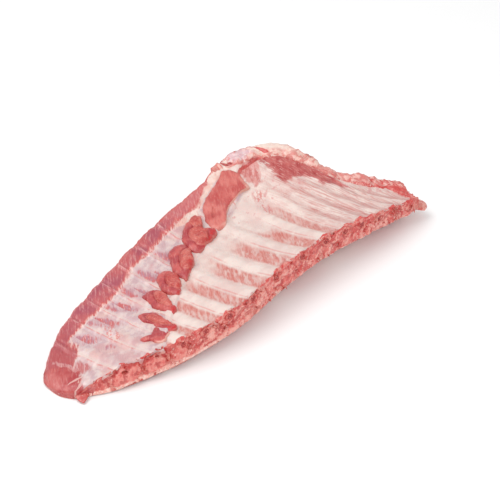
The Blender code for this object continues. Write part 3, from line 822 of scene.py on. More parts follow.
# The sawn face: where the ribs were sawn from the backbone. A band of torn muscle, fat and
# cartilage grains wraps the rack's long straight rim, with a cream fat line along its foot.
SAWN_STATIONS = 840
LIP_ROWS = 14
WALL_ROWS = 38
FOOT_ROWS = 8
BACKING = 3.0
SUNK_AT_ENDS = 1.1
FAR_FROM_LIP = 99.0
BONE_WIDTH = 12.0
BONE_HEIGHT = 8.6
BONE_DEPTH = 5.6
BONE_REACH = 0.60
BONE_PROUD = 1.2


def along_rim(side, share):
    """Shares along and across of places on one stretch of the rim."""
    return np.broadcast_arrays(*{"sawn": (share, 0.0), "neck": (1.0, share), "flank": (share, 1.0)}[side])


def moved_in(side, along, across, inward):
    """Shares of the places inward millimetres in from a stretch of rim."""
    if side == "neck":
        return along - inward / LENGTH_PER_SHARE, across
    width = np.linalg.norm((curve(FLANK_EDGE, along) - curve(SAWN_EDGE, along))[:, :2], axis=-1)
    return along, across + inward / width * (1 if side == "sawn" else -1)


def skin(loops, flip=False, middles=None):
    """Points and faces of a closed tube through rings of points, with a fan over each end."""
    rings, sides = loops.shape[:2]
    r, s = np.meshgrid(np.arange(rings - 1) * sides, np.arange(sides), indexing="ij")
    n = (s + 1) % sides
    faces = np.stack([r + s, r + sides + s, r + sides + n, r + n], -1).reshape(-1, 4).tolist()
    size = rings * sides
    for k in range(sides):
        after = (k + 1) % sides
        faces.append([after, size, k])
        faces.append([size - sides + k, size + 1, size - sides + after])
    if flip:
        faces = [face[:1] + face[:0:-1] for face in faces]
    middles = loops[[0, -1]].mean(axis=1) if middles is None else middles
    return np.concatenate([loops.reshape(-1, 3), middles]), faces


def rim_wrap(name, side, start, finish, stations, lip, foot_reach, rough_of):
    """A closed band over the rim: in from the edge on the bone side, down the wall, and in below."""
    along, across = along_rim(side, np.linspace(start, finish, stations))
    edge = bone_side(along, across)
    smooth_edge = sheet(along, across)
    ahead = np.gradient(smooth_edge[:, :2], axis=0)
    outward = unit(np.stack([ahead[:, 1], -ahead[:, 0]], -1))
    foot = underside_height(along, across)
    rows, places, from_lip, shares = [], [], [], []
    for step in range(LIP_ROWS):
        inward = lip * (1 - step / LIP_ROWS)
        shares.append(moved_in(side, along, across, inward))
        rows.append(bone_side(*shares[-1]))
        places.append(np.full(stations, step / LIP_ROWS - 1))
        from_lip.append(lip - inward)
    for step in range(WALL_ROWS):
        down = step / (WALL_ROWS - 1)
        row = edge.copy()
        row[:, :2] += outward * rim_offset(along, across, down)[:, None]
        row[:, 2] += (foot - edge[:, 2]) * down
        rows.append(row)
        places.append(np.full(stations, down))
        shares.append((along, across))
        from_lip.append(np.full(stations, FAR_FROM_LIP))
    for step in range(1, FOOT_ROWS + 1):
        inward = foot_reach * step / FOOT_ROWS
        inner = moved_in(side, along, across, inward)
        row = rows[LIP_ROWS + WALL_ROWS - 1].copy()
        row[:, :2] += (sheet(*inner) - smooth_edge)[:, :2]
        row[:, 2] = underside_height(*inner)
        rows.append(row)
        places.append(np.full(stations, 1 + step / FOOT_ROWS))
        shares.append((along, across))
        from_lip.append(np.full(stations, foot_reach) - inward)
    grid, place, from_lip = np.stack(rows), np.stack(places), np.stack(from_lip)
    along, across = np.stack(shares, axis=1)
    normal = unit(np.cross(np.gradient(grid, axis=0), np.gradient(grid, axis=1)))
    for _ in range(3):
        normal[1:-1] = (normal[:-2] + normal[1:-1] + normal[2:]) / 3
    normal = unit(normal)
    walked = np.concatenate([[0], np.cumsum(np.linalg.norm(np.diff(smooth_edge, axis=0), axis=-1))])
    from_end = np.minimum(walked, walked[-1] - walked)
    shown = ramp(from_lip, 0, 3.5) * ramp(from_end, 0, 1.5)
    rough = rough_of(grid, place, along, across)
    outer = grid + normal * (rough * shown - SUNK_AT_ENDS * (1 - shown))[..., None]
    back = np.stack([grid[-1] - normal[-1] * BACKING, grid[0] - normal[0] * BACKING])
    points, faces = skin(np.concatenate([outer, back]).transpose(1, 0, 2), flip=True)
    fade = 1 - ramp(place, 0.0, 0.45)
    crown = ramp(along, 0.770, 0.792) * (1 - ramp(along, 0.838, 0.862)) * ramp(across, 0.90, 0.96)
    measures = {
        "place": place, "rough": rough, "along": along,
        "gash": (1 - ramp(from_gash(along, across), 0.8, 4.0)) * fade,
        "streak": (1 - ramp(from_path(along, across, BLOOD_STREAK), 0.5, 3.5)) * fade,
        "film": field(inside(along, across, RIM_FILM)) * fade,
        "crown": crown * (1 - ramp(place, 0.4, 0.8)),
        "ending": (1 - ramp(from_end, 1, 16)) * ramp(place, -0.5, 0.2),
    }
    for label, values in measures.items():
        measures[label] = np.append(np.pad(values, ((0, 2), (0, 0))).T, (0, 0))
    piece = make_piece(name, points, faces, **measures)
    return piece


def bone_path(number, rings, proud):
    """Middle line of a rib bone and its half width and half height, as the solid has them."""
    line = RIB_LINES[number]
    size = min(1.0, 0.62 + 0.10 * number, 0.80 + 0.10 * (len(RIB_LINES) - 1 - number))
    across = np.linspace(0, BONE_REACH * min(1.0, 0.70 + 0.10 * number), rings)
    path = sheet(rib_centre(line, across), across)
    path[:, 2] -= BONE_DEPTH * (0.75 + 0.25 * size)
    path[0] += unit(path[0] - path[1]) * proud
    return path, BONE_WIDTH / 2 * size, BONE_HEIGHT / 2 * size


CHUNKS = (
    (0.092, 15, 9, 3.0), (0.150, 13, 8, 2.4), (0.205, 9, 8, 1.8), (0.288, 8, 8, 1.5), (0.440, 9, 8, 1.5),
)


def sawn_roughness(grid, place, along, across):
    """Grains and torn lumps of the saw cut, dented where a rib's end shows."""
    grains = 2.3 * (pebbles(grid, 9.0, 21) ** 0.7 - 0.60) + 0.9 * (pebbles(grid, 3.4, 22) - 0.45)
    height = grains + 1.0 * bumps(grid, 13, 23) + 0.25 * bumps(grid, 1.4, 24) - 0.4
    height = height * (0.35 + 0.65 * ramp(along, 0.05, 0.09))
    wall_middle = (curve(SAWN_EDGE, along)[..., 2] + profile(SAWN_FACE_FOOT, along)) / 2
    for middle, half_long, half_high, proud in CHUNKS:
        lengthwise = (along - middle) * LENGTH_PER_SHARE / half_long
        from_middle = np.hypot(lengthwise, (grid[..., 2] - wall_middle) / half_high)
        from_middle = from_middle + 0.16 * bumps(grid, 7, 26)
        chunk = 1 - ramp(from_middle, 0.70, 1.0)
        notch = bell(from_middle - 1.14, 0.15) * (0.4 + 0.6 * ramp(bumps(grid, 11, 28), -0.3, 0.4))
        height = height * (1 - 0.45 * chunk) + proud * chunk - 1.5 * notch
    height = height * (1 - 0.75 * ramp(place, 0.90, 1.0) * (1 - ramp(along, 0.30, 0.50)))
    for number in range(len(RIB_LINES)):
        path, half_width, half_height = bone_path(number, 6, BONE_PROUD)
        away = ((grid - path[0]) / (half_width - 1.2, 99.0, half_height - 1.2)) ** 2
        away = np.sqrt(away.sum(-1)) + 0.40 * bumps(grid, 3.6, 25)
        dent = 1 - ramp(away, 0.70, 1.05)
        height = height * (1 - dent) - 2.2 * dent
    return height


def torn_material(name, flesh, pale, red, fat, blood, lip_red=0.0, bleeding=1.0, fat_from=(0.90, 0.90)):
    """Wet torn tissue: grains of flesh, pale fat and blood, with blood and painted shade darkening the
    creases and deepest pits between them.
    """
    material, shader, place, measure = start_material(name, 0.4, 0.45)
    rough, row, along = measure("rough"), measure("place"), measure("along")
    cloud, patch, lumps = place.grain(7.0), place.grain(16.0, detail=1.0), place.grain(9.0, detail=1.0)
    grains, specks = place.grain(2.8, detail=3.0), place.grain(1.3)
    surface = ((cloud + patch.sway(0.6)).ramp(0.40, 0.62) * 0.80).over(flesh, red)
    pale_share = grains + rough * 0.06 + lumps.sway(0.9)
    near_tip = along.fall(0.10, 0.34)
    surface = surface.painted(
        (near_tip * 0.66, tint(198, 94, 90)),
        (pale_share.ramp(0.48, 0.68) * (0.80 - 0.30 * near_tip), pale),
        (specks.ramp(0.58, 0.70) * cloud.fall(0.45, 0.6) * 0.8, fat),
    )
    crown_of_lump = (rough + cloud.sway(0.8)).ramp(1.2, 2.1)
    surface = (crown_of_lump * 0.65).over(surface, grains.ramp(0.3, 0.7).over(red, pale))
    surface = (crown_of_lump * 0.45).over(surface, flesh)
    # Creases between the grains: dark red for blood, and painted shade where light falls less; bleeding
    # scales both.
    crease = (rough + grains.sway(1.2)).fall(-1.9, -0.2)
    surface = (crease * (0.35 + 0.55 * bleeding)).over(surface, blood)
    # The deepest pits painted near black-red: painted shade in the hollows.
    pits = (rough + specks.sway(1.5)).fall(-3.0, -1.6)
    surface = (pits * 0.7 * bleeding).over(surface, tint(116, 34, 38))
    paler_run = along.ramp(0.24, 0.31) * along.fall(0.42, 0.52)
    paler_run = paler_run * (grains + rough * 0.08 + lumps.sway(0.6)).ramp(0.34, 0.62)
    surface = (paler_run * 0.80).over(surface, pale)
    near_lip = (row + cloud.sway(0.6)).fall(0.0, 0.45)
    drops = (place.grain(5.0, detail=1.0) + (specks - 0.5) * 0.2 + near_lip * 0.12).ramp(0.57, 0.65)
    drops = drops * row.fall(0.6, 0.9)
    surface = (drops * (0.80 * bleeding)).over(surface, near_lip.over(blood, tint(204, 40, 48)))
    wet_lip = near_lip * (lumps + grains.sway(0.6)).ramp(0.42, 0.60) * row.ramp(-0.9, -0.4)
    surface = (wet_lip * (0.38 * lip_red)).over(surface, tint(204, 54, 58))
    at_lip = (row + cloud.sway(0.6)).fall(-0.92, -0.66)
    surface = (at_lip * (specks + lumps.sway(0.8)).ramp(0.34, 0.58) * lip_red).over(surface, blood)
    fat_line = (row + cloud.sway(0.22) - along.ramp(0.05, 0.45).mix(*fat_from)).ramp(-0.04, 0.04)
    fat_line = fat_line * (1 - row.ramp(1.0, 1.6) * patch.ramp(0.40, 0.54))
    surface = (fat_line * 0.85).over(surface, grains.ramp(0.4, 0.6).over(fat, pale))
    surface = (measure("crown") * (0.75 + cloud.sway(0.9))).over(surface, tint(247, 230, 218))
    film = (measure("film") + grains.sway(0.5)).ramp(0.40, 0.62)
    surface = (film * 0.65).over(surface, tint(226, 202, 210))
    meat_side = cloud.ramp(0.38, 0.62).over(tint(203, 101, 94), tint(215, 132, 121))
    meat_side = (specks.ramp(0.58, 0.70) * 0.4).over(meat_side, fat)
    ending = (measure("ending") + cloud.sway(1.0) + grains.sway(0.5)).ramp(0.40, 0.62)
    turned_under = (row + cloud.sway(0.6)).ramp(1.05, 1.50)
    surface = (1 - (1 - ending) * (1 - turned_under)).over(surface, meat_side)
    # Dark red along the knife's gashes: blood, and painted shade in the gap under the rim's lip.
    cut = (measure("gash") + grains.sway(0.6)).ramp(0.30, 0.75)
    surface = (cut * 0.85).over(surface, tint(186, 60, 60))
    streak = (measure("streak") + grains.sway(0.8)).ramp(0.45, 0.75)
    surface = (streak * 0.85).over(surface, tint(206, 60, 66))
    finish_surface(shader, place, surface, grains * 0.6 + specks * 0.4, 0.6, 0.26 + 0.25 * cloud)
    return material


edge_walk = np.stack([np.linspace(0, 420, SAWN_STATIONS), np.zeros(SAWN_STATIONS)], -1)
sawn_lip = 4.5 + 2.2 * bumps(edge_walk, 9, 27)
sawn_face = rim_wrap("sawn_face", "sawn", 0.004, 0.998, SAWN_STATIONS, sawn_lip, 4.0, sawn_roughness)
sawn_face.data.materials.append(torn_material(
    "torn_cut", wall_tint(216, 118, 110), wall_tint(232, 170, 158), wall_tint(196, 80, 78),
    wall_tint(244, 214, 202), wall_tint(172, 38, 46), 0.75, 0.85, (0.78, 1.00),
))

# The rib bones: flat oval bars that run through the meat under the crests. Only their sawn ends
# show, each a pale rim of hard bone round a dark red, pitted marrow.
BONE_KNOTS = 6
BONE_RINGS = 14
BONE_SIDES = 44
END_RINGS = 9


def even_turns(count):
    """Angles evenly spaced round a circle."""
    return 2 * math.pi * np.arange(count) / count


def oval_rings(path, half_width, half_height, sides):
    """Spokes of an oval bar round a path, and the path's directions."""
    ahead = unit(np.gradient(path, axis=0))
    sideways = unit(np.cross(ahead, (0, 0, 1)))
    up = np.cross(sideways, ahead)
    turns = even_turns(sides)
    wide = (half_width[:, None] * np.cos(turns))[..., None] * sideways[:, None]
    return wide + (half_height[:, None] * np.sin(turns))[..., None] * up[:, None], ahead


def bone_material():
    """Pale hard bone at the rim of the sawn end, and dark red, pitted marrow in the middle."""
    material, shader, place, measure = start_material("sawn_bone", 0.45, 0.3)
    marrow = measure("marrow")
    pits, cloud = place.grain(1.1, detail=3.0), place.grain(4.0)
    core = pits.ramp(0.42, 0.60).over(wall_tint(142, 42, 46), wall_tint(196, 84, 80))
    core = (pits.ramp(0.60, 0.66) * 0.8).over(core, wall_tint(232, 180, 168))
    rim = cloud.ramp(0.4, 0.6).over(wall_tint(218, 136, 126), wall_tint(194, 82, 78))
    rim = (pits.ramp(0.56, 0.64) * 0.6).over(rim, wall_tint(234, 182, 170))
    surface = (marrow + (pits - 0.5) * 0.8 + (cloud - 0.5) * 1.1).ramp(0.40, 0.85).over(rim, core)
    finish_surface(shader, place, surface, pits, 0.6)
    return material


sawn_bone = bone_material()
for number in range(len(RIB_LINES)):
    coarse, half_width, half_height = bone_path(number, BONE_KNOTS, BONE_PROUD)
    steps = np.linspace(0, BONE_KNOTS - 1, BONE_RINGS)
    path = np.stack([np.interp(steps, range(BONE_KNOTS), coarse[:, k]) for k in range(3)], -1)
    taper = np.interp(steps, (0, 4, 5), (1, 1, 0.7))
    spokes, ahead = oval_rings(path, half_width * taper, half_height * taper, BONE_SIDES)
    end_rings, marrow = [], []
    for step in range(END_RINGS - 1):
        toward_middle = (step + 1) / END_RINGS
        ring = path[0] + spokes[0] * (1 - toward_middle)
        dip = 0.9 * ramp(toward_middle, 0.20, 0.50)
        dip = dip - 0.45 * bumps(ring, 2.4, 31) - 0.25 * bumps(ring, 1.3, 32)
        end_rings.append(ring + ahead[0] * (0.15 + dip)[:, None])
        marrow.append(np.full(BONE_SIDES, ramp(toward_middle, 0.20, 0.55)))
    points, faces = skin(np.concatenate([np.stack(end_rings[::-1]), path[:, None] + spokes]))
    marrow = np.concatenate([*marrow[::-1], np.zeros(BONE_RINGS * BONE_SIDES), (1, 0)])
    bone = make_piece(f"rib_{number + 1:02d}", points, faces, marrow=marrow)
    bone.data.materials.append(sawn_bone)
    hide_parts(f"rib_bone_{number + 1:02d}")

# The diaphragm: a thick flap of skirt muscle, cut off, and below it a row of cut stubs where it
# was joined to each rib. Each is a soft pad with a smooth side and an oval, grainy cut face.
PAD_SIDES = 132
PAD_RINGS = 30
PAD_DEPTH = 3.0
PADS = {
    "skirt_muscle": (5.5, (
        (0.687, 0.925), (0.702, 0.935), (0.718, 0.90), (0.725, 0.85), (0.720, 0.78), (0.717, 0.735),
        (0.712, 0.722), (0.695, 0.737), (0.667, 0.736), (0.638, 0.726), (0.615, 0.695), (0.600, 0.66),
        (0.583, 0.628), (0.565, 0.635), (0.555, 0.66), (0.554, 0.69), (0.560, 0.75), (0.570, 0.78),
        (0.580, 0.82), (0.590, 0.85), (0.608, 0.88), (0.635, 0.905), (0.660, 0.915),
    ), (), ((0.606, 0.79, 0.582, 0.735),)),
    "kidney_stub": (6.5, (
        (0.556, 0.84), (0.563, 0.80), (0.549, 0.745), (0.538, 0.715), (0.545, 0.68), (0.553, 0.64),
        (0.545, 0.61), (0.527, 0.605), (0.503, 0.597), (0.484, 0.583), (0.463, 0.595), (0.459, 0.64),
        (0.467, 0.71), (0.481, 0.77), (0.505, 0.815), (0.528, 0.835),
    ), ((0.508, 0.680, 15, 9.0, 58), (0.540, 0.782, 10, 6.5, 62)), ((0.542, 0.715, 0.518, 0.752),)),
    "stub_1": (6.5, (
        (0.426, 0.76), (0.448, 0.755), (0.464, 0.72), (0.466, 0.67), (0.457, 0.63), (0.444, 0.59),
        (0.434, 0.555), (0.415, 0.525), (0.393, 0.500), (0.375, 0.485), (0.371, 0.54), (0.374, 0.58),
        (0.380, 0.625), (0.396, 0.68), (0.411, 0.73),
    ), ((0.427, 0.600, 18, 7.2, 44),), ()),
    "stub_2": (6.0, (
        (0.336, 0.655), (0.355, 0.675), (0.373, 0.65), (0.374, 0.58), (0.368, 0.53), (0.353, 0.465),
        (0.338, 0.43), (0.320, 0.41), (0.311, 0.47), (0.314, 0.54), (0.320, 0.585), (0.328, 0.625),
    ), ((0.350, 0.530, 13.5, 7.0, 60),), ()),
    "stub_3": (5.5, (
        (0.273, 0.615), (0.290, 0.62), (0.306, 0.59), (0.314, 0.54), (0.306, 0.48), (0.295, 0.42),
        (0.289, 0.36), (0.284, 0.31), (0.267, 0.285), (0.261, 0.34), (0.261, 0.40), (0.262, 0.48),
        (0.268, 0.56),
    ), ((0.290, 0.46, 15, 6.0, 76),), ()),
    "stub_4": (4.5, (
        (0.221, 0.49), (0.238, 0.48), (0.249, 0.42), (0.248, 0.36), (0.241, 0.29), (0.237, 0.22),
        (0.240, 0.16), (0.228, 0.125), (0.211, 0.16), (0.211, 0.24), (0.216, 0.33), (0.213, 0.41),
    ), ((0.232, 0.32, 16, 4.6, 92),), ()),
    "stub_5": (4.0, (
        (0.168, 0.245), (0.183, 0.225), (0.198, 0.245), (0.213, 0.28), (0.221, 0.26), (0.216, 0.19),
        (0.214, 0.13), (0.200, 0.095), (0.185, 0.06), (0.172, 0.09), (0.174, 0.15), (0.163, 0.19),
    ), (), ()),
}


def closed_curve(outline, count):
    """Points of a smooth closed curve through an outline, turned anticlockwise."""
    knots = np.array(outline, float)
    after = np.roll(knots, -1, axis=0)
    if (knots[:, 0] * after[:, 1] - after[:, 0] * knots[:, 1]).sum() < 0:
        knots = knots[::-1]
    turns = np.arange(count) / count * len(knots)
    i = turns.astype(int)
    t = (turns - i)[:, None]
    p0, p1, p2, p3 = (knots[(i + k) % len(knots)] for k in (-1, 0, 1, 2))
    bend = (2 * p0 - 5 * p1 + 4 * p2 - p3) * t**2 + (3 * p1 - p0 - 3 * p2 + p3) * t**3
    return 0.5 * (2 * p1 + (p2 - p0) * t + bend)


def pad(name, height, outline, cut_faces, creases, seed):
    """A pad of muscle on the bone side, with raised oval cut faces and creases in and round them."""
    ring = closed_curve(outline, PAD_SIDES)
    middle = ring.mean(0)
    levels = 1 - (np.arange(PAD_RINGS) / PAD_RINGS) ** 1.5
    shares = middle + (ring - middle)[None] * levels[:, None, None]
    top = sheet(shares[..., 0], shares[..., 1])
    centre = sheet(*middle)
    away = (top - centre)[..., :2]
    wobble = 0.7 * bumps(top[0, :, :2], 6, seed) + 0.4 * bumps(top[0, :, :2], 2.2, seed + 1)
    reach = np.linalg.norm(away[0], axis=-1)
    top[..., :2] += away / reach[:, None] * wobble[None, :, None]
    toward_saw = -(away @ (-0.45, 0.89)) / reach[None]
    lift = height * (1 - levels ** 4) ** 0.4
    lift = 0.8 + lift[:, None] * (0.90 + 0.14 * toward_saw + 0.10 * bumps(top[..., :2], 12, seed + 2))
    plan = top[..., :2]
    for crease in creases:
        start, finish = (sheet(*end)[:2] for end in (crease[:2], crease[2:]))
        lift *= 1 - 0.40 * bell(from_lines(plan, [start], [finish]), 1.4)
    cut = np.zeros(lift.shape)
    for along, across, long, short, turn in cut_faces:
        offset = plan - sheet(along, across)[:2]
        turn = math.radians(turn)
        u = offset @ (math.cos(turn), math.sin(turn)) / long
        v = offset @ (-math.sin(turn), math.cos(turn)) / short
        oval = np.hypot(u, v) + 0.08 * bumps(plan, 5, seed + 3)
        cut = np.maximum(cut, 1 - ramp(oval, 0.92, 1.0))
        lift += 1.5 * (1 - ramp(oval, 0.75, 1.0)) - 1.2 * bell(oval - 1.07, 0.09)
    lift += 0.35 * bumps(plan, 4, seed + 4) + (0.12 + 0.18 * cut) * bumps(plan, 1.6, seed + 5)
    top[..., 2] += np.maximum(lift, 0.2)
    bottom = top[0] - (0, 0, PAD_DEPTH + 0.8)
    bottom[:, :2] -= away[0] / reach[:, None] * 0.8
    middles = [(*centre[:2], height) for height in (bottom[:, 2].mean(), top[-1, :, 2].mean())]
    points, faces = skin(np.concatenate([bottom[None], top]), flip=True, middles=middles)
    piece = make_piece(
        name, points, faces, cut=np.concatenate([np.zeros(PAD_SIDES), cut.ravel(), (0, cut[-1].mean())]),
        rim=np.concatenate([np.ones(PAD_SIDES), np.repeat(levels, PAD_SIDES), (1, 0)]),
        low=np.concatenate([toward_saw[0], toward_saw.ravel(), (0, 0)]),
        bleeding=np.full(len(points), 1.0 if cut_faces else 0.0),
        skirt=np.full(len(points), 1.0 if creases and not cut_faces else 0.0),
    )
    return piece


def muscle_material():
    """Smooth sides of muscle under a membrane, and the grainy oval faces where it was cut."""
    material, shader, place, measure = start_material("cut_muscle", 0.4, 0.3)
    cut, rim, low = measure("cut"), measure("rim"), measure("low")
    cloud, grains = place.grain(8.0), place.grain(1.7, detail=3.0)
    strands = place.grain(1.6, stretch=6, turn=50)
    wide = place.grain(17.0, detail=1.0)
    length = place.grain(4.5, stretch=7, turn=FIBRE_TURN, detail=1.0)
    side = (wide * 0.6 + length * 0.4).ramp(0.36, 0.62).over(tint(219, 130, 122), tint(196, 96, 93))
    # The sides that face toward the saw cut are painted darker: painted shade on that side.
    side = ((low + cloud.sway(0.7)).ramp(0.3, 0.9) * 0.4).over(side, tint(196, 98, 96))
    cut_side = (cloud + wide.sway(0.8)).ramp(0.34, 0.64).over(tint(204, 102, 99), tint(180, 80, 84))
    side = side.painted(
        (1 - measure("skirt"), cut_side),
        (strands.ramp(0.54, 0.68) * 0.35, tint(224, 152, 144)),
        (strands.fall(0.32, 0.44) * 0.30, tint(184, 80, 80)),
    )
    face = (cloud + wide.sway(0.6)).ramp(0.32, 0.66).over(tint(210, 115, 106), tint(194, 88, 84))
    face = (grains.ramp(0.54, 0.66) * 0.50).over(face, tint(226, 152, 141))
    face = (grains.fall(0.34, 0.44) * 0.50).over(face, tint(168, 56, 56))
    surface = cut.over(side, face)
    edge_line = cut.near(0.5, 0.15, 0.45)
    surface = (edge_line * 0.35).over(surface, tint(228, 144, 126))
    blood = (low + cloud.sway(1.8)).ramp(0.45, 0.85) * (rim + grains.sway(0.9)).ramp(0.50, 0.85)
    blood = blood * (grains + cloud.sway(0.6)).ramp(0.42, 0.56)
    surface = (blood * measure("bleeding") * 0.85).over(surface, tint(202, 42, 48))
    rim_start = measure("bleeding").mix(0.84, 0.93)
    membrane = (rim + grains.sway(0.10) - rim_start).ramp(0.0, 0.06)
    membrane = membrane * (low + cloud.sway(0.6)).ramp(0.0, 0.5)
    surface = (membrane * (1 - measure("bleeding") * 0.7) * 0.75).over(surface, tint(236, 188, 174))
    finish_surface(shader, place, surface, grains * 0.6 + strands * 0.5, 0.7, 0.30 + 0.2 * cloud)
    return material


cut_muscle = muscle_material()
for seed, (name, (height, outline, cut_faces, creases)) in enumerate(PADS.items()):
    muscle = pad(name, height, outline, cut_faces, creases, 50 + 7 * seed)
    muscle.data.materials.append(cut_muscle)

# The breastbone rim and the neck end: soft lumpy fat and torn trimmings where the breastbone
# was cut away. They wrap the rim, standing in a ragged lip over the bone side.
RIM_STATIONS = 330
RIM_FROM, RIM_TO = 0.915, 0.690
NECK_STATIONS = 260
NECK_TO = 0.985
SHOULDER_STATIONS = 130
SHOULDER_FROM, SHOULDER_TO = 0.999, 0.890
RIM_LIP = (
    (0.690, 7.0), (0.715, 13.0), (0.752, 19.0), (0.790, 20.0), (0.828, 23.0), (0.845, 28.0), (0.865, 33.0),
    (0.885, 36.0), (0.900, 30.0), (0.915, 22.0),
)
SHOULDER_LIP = ((0.890, 16.0), (0.905, 22.0), (0.925, 24.0), (0.960, 20.0), (0.999, 15.0))
NECK_LIP = ((0.0, 9.0), (0.20, 9.0), (0.43, 11.0), (0.58, 13.0), (0.70, 18.0), (0.80, 20.0), (0.985, 17.0))


def fatty_roughness(grid, place, along, across):
    """Soft fat in lumps of three sizes, torn finer toward the neck, with the knife's gashes in it."""
    lumps = 3.0 * (pebbles(grid, 17.0, 61) ** 0.7 - 0.55) + 1.8 * (pebbles(grid, 7.5, 62) ** 0.8 - 0.5)
    torn = ramp(along, 0.83, 0.87) * (pebbles(grid, 4.0, 67) - 0.4)
    height = lumps + 1.2 * bumps(grid, 12, 63) + 0.7 * bumps(grid, 4.0, 64) + 0.30 * bumps(grid, 1.8, 65)
    gash = bell(from_gash(along, across), 2.0) * (1 - ramp(place, 0.0, 0.5))
    return height + torn + 0.7 - 2.6 * gash


def trimmed_roughness(grid, place, along, across):
    """Trimmed muscle at the neck: lumps drawn out across the end, and fine torn grains."""
    stretched = grid * (1, 0.45, 1)
    height = 2.6 * (pebbles(stretched, 8.5, 71) ** 0.8 - 0.45) + 1.0 * (pebbles(grid, 3.4, 72) - 0.45)
    return height + 0.8 * bumps(grid, 12, 73) + 0.35 * bumps(grid, 1.5, 74) + 0.8 * ramp(across, 0.4, 0.7)


def ragged_wrap(name, side, start, finish, stations, lip_rows, seed, foot_reach, rough_of):
    """A wrap of the rim whose lip is as wide as its rows say, with uneven tears in it."""
    lip = profile(lip_rows, np.linspace(start, finish, stations))
    walk = np.stack([np.arange(stations) * 0.7, np.zeros(stations)], -1)
    lip = np.maximum(lip * (1 + 0.14 * bumps(walk, 14, seed)) + 1.1 * bumps(walk, 4.5, seed + 1), 2.5)
    return rim_wrap(name, side, start, finish, stations, lip, foot_reach, rough_of)


breastbone_rim = ragged_wrap(
    "breastbone_rim", "flank", RIM_FROM, RIM_TO, RIM_STATIONS, RIM_LIP, 66, 6.0, fatty_roughness,
)
breastbone_rim.data.materials.append(torn_material(
    "breastbone_fat", tint(241, 196, 184), tint(246, 222, 211), tint(230, 166, 154), tint(248, 231, 221),
    tint(206, 88, 85), 0.50, 0.62,
))
neck_trim = ragged_wrap(
    "neck_trim", "neck", 0.0, NECK_TO, NECK_STATIONS, NECK_LIP, 76, 5.0, trimmed_roughness,
)
neck_trim.data.materials.append(torn_material(
    "neck_trimmings", tint(222, 120, 114), tint(238, 176, 166), tint(204, 76, 76), tint(246, 212, 202),
    tint(184, 36, 46), 0.90, 0.80,
))
shoulder_trim = ragged_wrap(
    "shoulder_trim", "flank", SHOULDER_FROM, SHOULDER_TO, SHOULDER_STATIONS, SHOULDER_LIP, 86, 5.0,
    trimmed_roughness,
)
shoulder_trim.data.materials.append(torn_material(
    "shoulder_fat", tint(241, 190, 180), tint(247, 218, 208), tint(229, 144, 136), tint(248, 229, 219),
    tint(202, 50, 57), 0.90, 0.58,
))

# The torn corners: a loose flap of muscle at the tip's sawn corner and a softer tongue at the
# neck's, both thin strips left hanging by the knife.
FLAPS = {
    "tip_flap": (
        ((-226, -12, 5.8), (-234, -24, 4.2), (-242, -36, 1.6)), ((10.5, 2.2), (8.0, 1.8), (2.0, 0.7)),
    ),
    "neck_flap": (
        ((180, -44, 17.5), (188, -53, 14.0), (194, -60, 11.0)), ((12.0, 4.0), (9.5, 3.0), (6.0, 2.0)),
    ),
}
FLAP_RINGS = 34
FLAP_SIDES = 48
FLAP_COLOURS = {
    "tip_flap": (
        tint(214, 118, 112), tint(222, 146, 138), tint(194, 84, 84), tint(234, 190, 180),
        tint(180, 66, 68),
    ),
    "neck_flap": (
        tint(224, 150, 138), tint(232, 170, 158), tint(216, 130, 120), tint(240, 200, 188),
        tint(206, 92, 88),
    ),
}

for seed, (name, (middles, sizes)) in enumerate(FLAPS.items()):
    rows = [(share, *middle, *size) for share, middle, size in zip((0, 0.5, 1), middles, sizes)]
    share = np.linspace(0, 1, FLAP_RINGS)
    table = curve(rows, share)
    path, half = table[:, :3], table[:, 3:] * ramp(1.02 - share, 0, 0.16)[:, None] ** 0.5
    spokes = oval_rings(path, *half.T, FLAP_SIDES)[0]
    loops = path[:, None] + spokes
    rough = 0.35 * (pebbles(loops, 4.5, 81 + seed) - 0.5) + 0.5 * bumps(loops, 6, 83 + seed)
    rough += 0.7 * bell(even_turns(FLAP_SIDES) - 2.2, 0.30) * ramp(share, 0.0, 0.2)[:, None]
    points, faces = skin(loops + unit(spokes) * rough[..., None])
    flap = make_piece(
        name, points, faces, place=np.full(len(points), 0.5), rough=np.append(rough, (0, 0)),
        along=np.full(len(points), 0.0 if name == "tip_flap" else 1.0),
    )
    flap.data.materials.append(torn_material(f"{name}_flesh", *FLAP_COLOURS[name]))

# The torn shreds: threads and crumbs of tissue that the saw and the knife left hanging along the
# cut rims. Each is a small bent tube with a thin end, rooted in the rim that it hangs from.
SHRED_RINGS = 7
SHRED_SIDES = 6
SHRED_LENGTH = (1.8, 3.6)
SHRED_RADIUS = (0.8, 1.6)


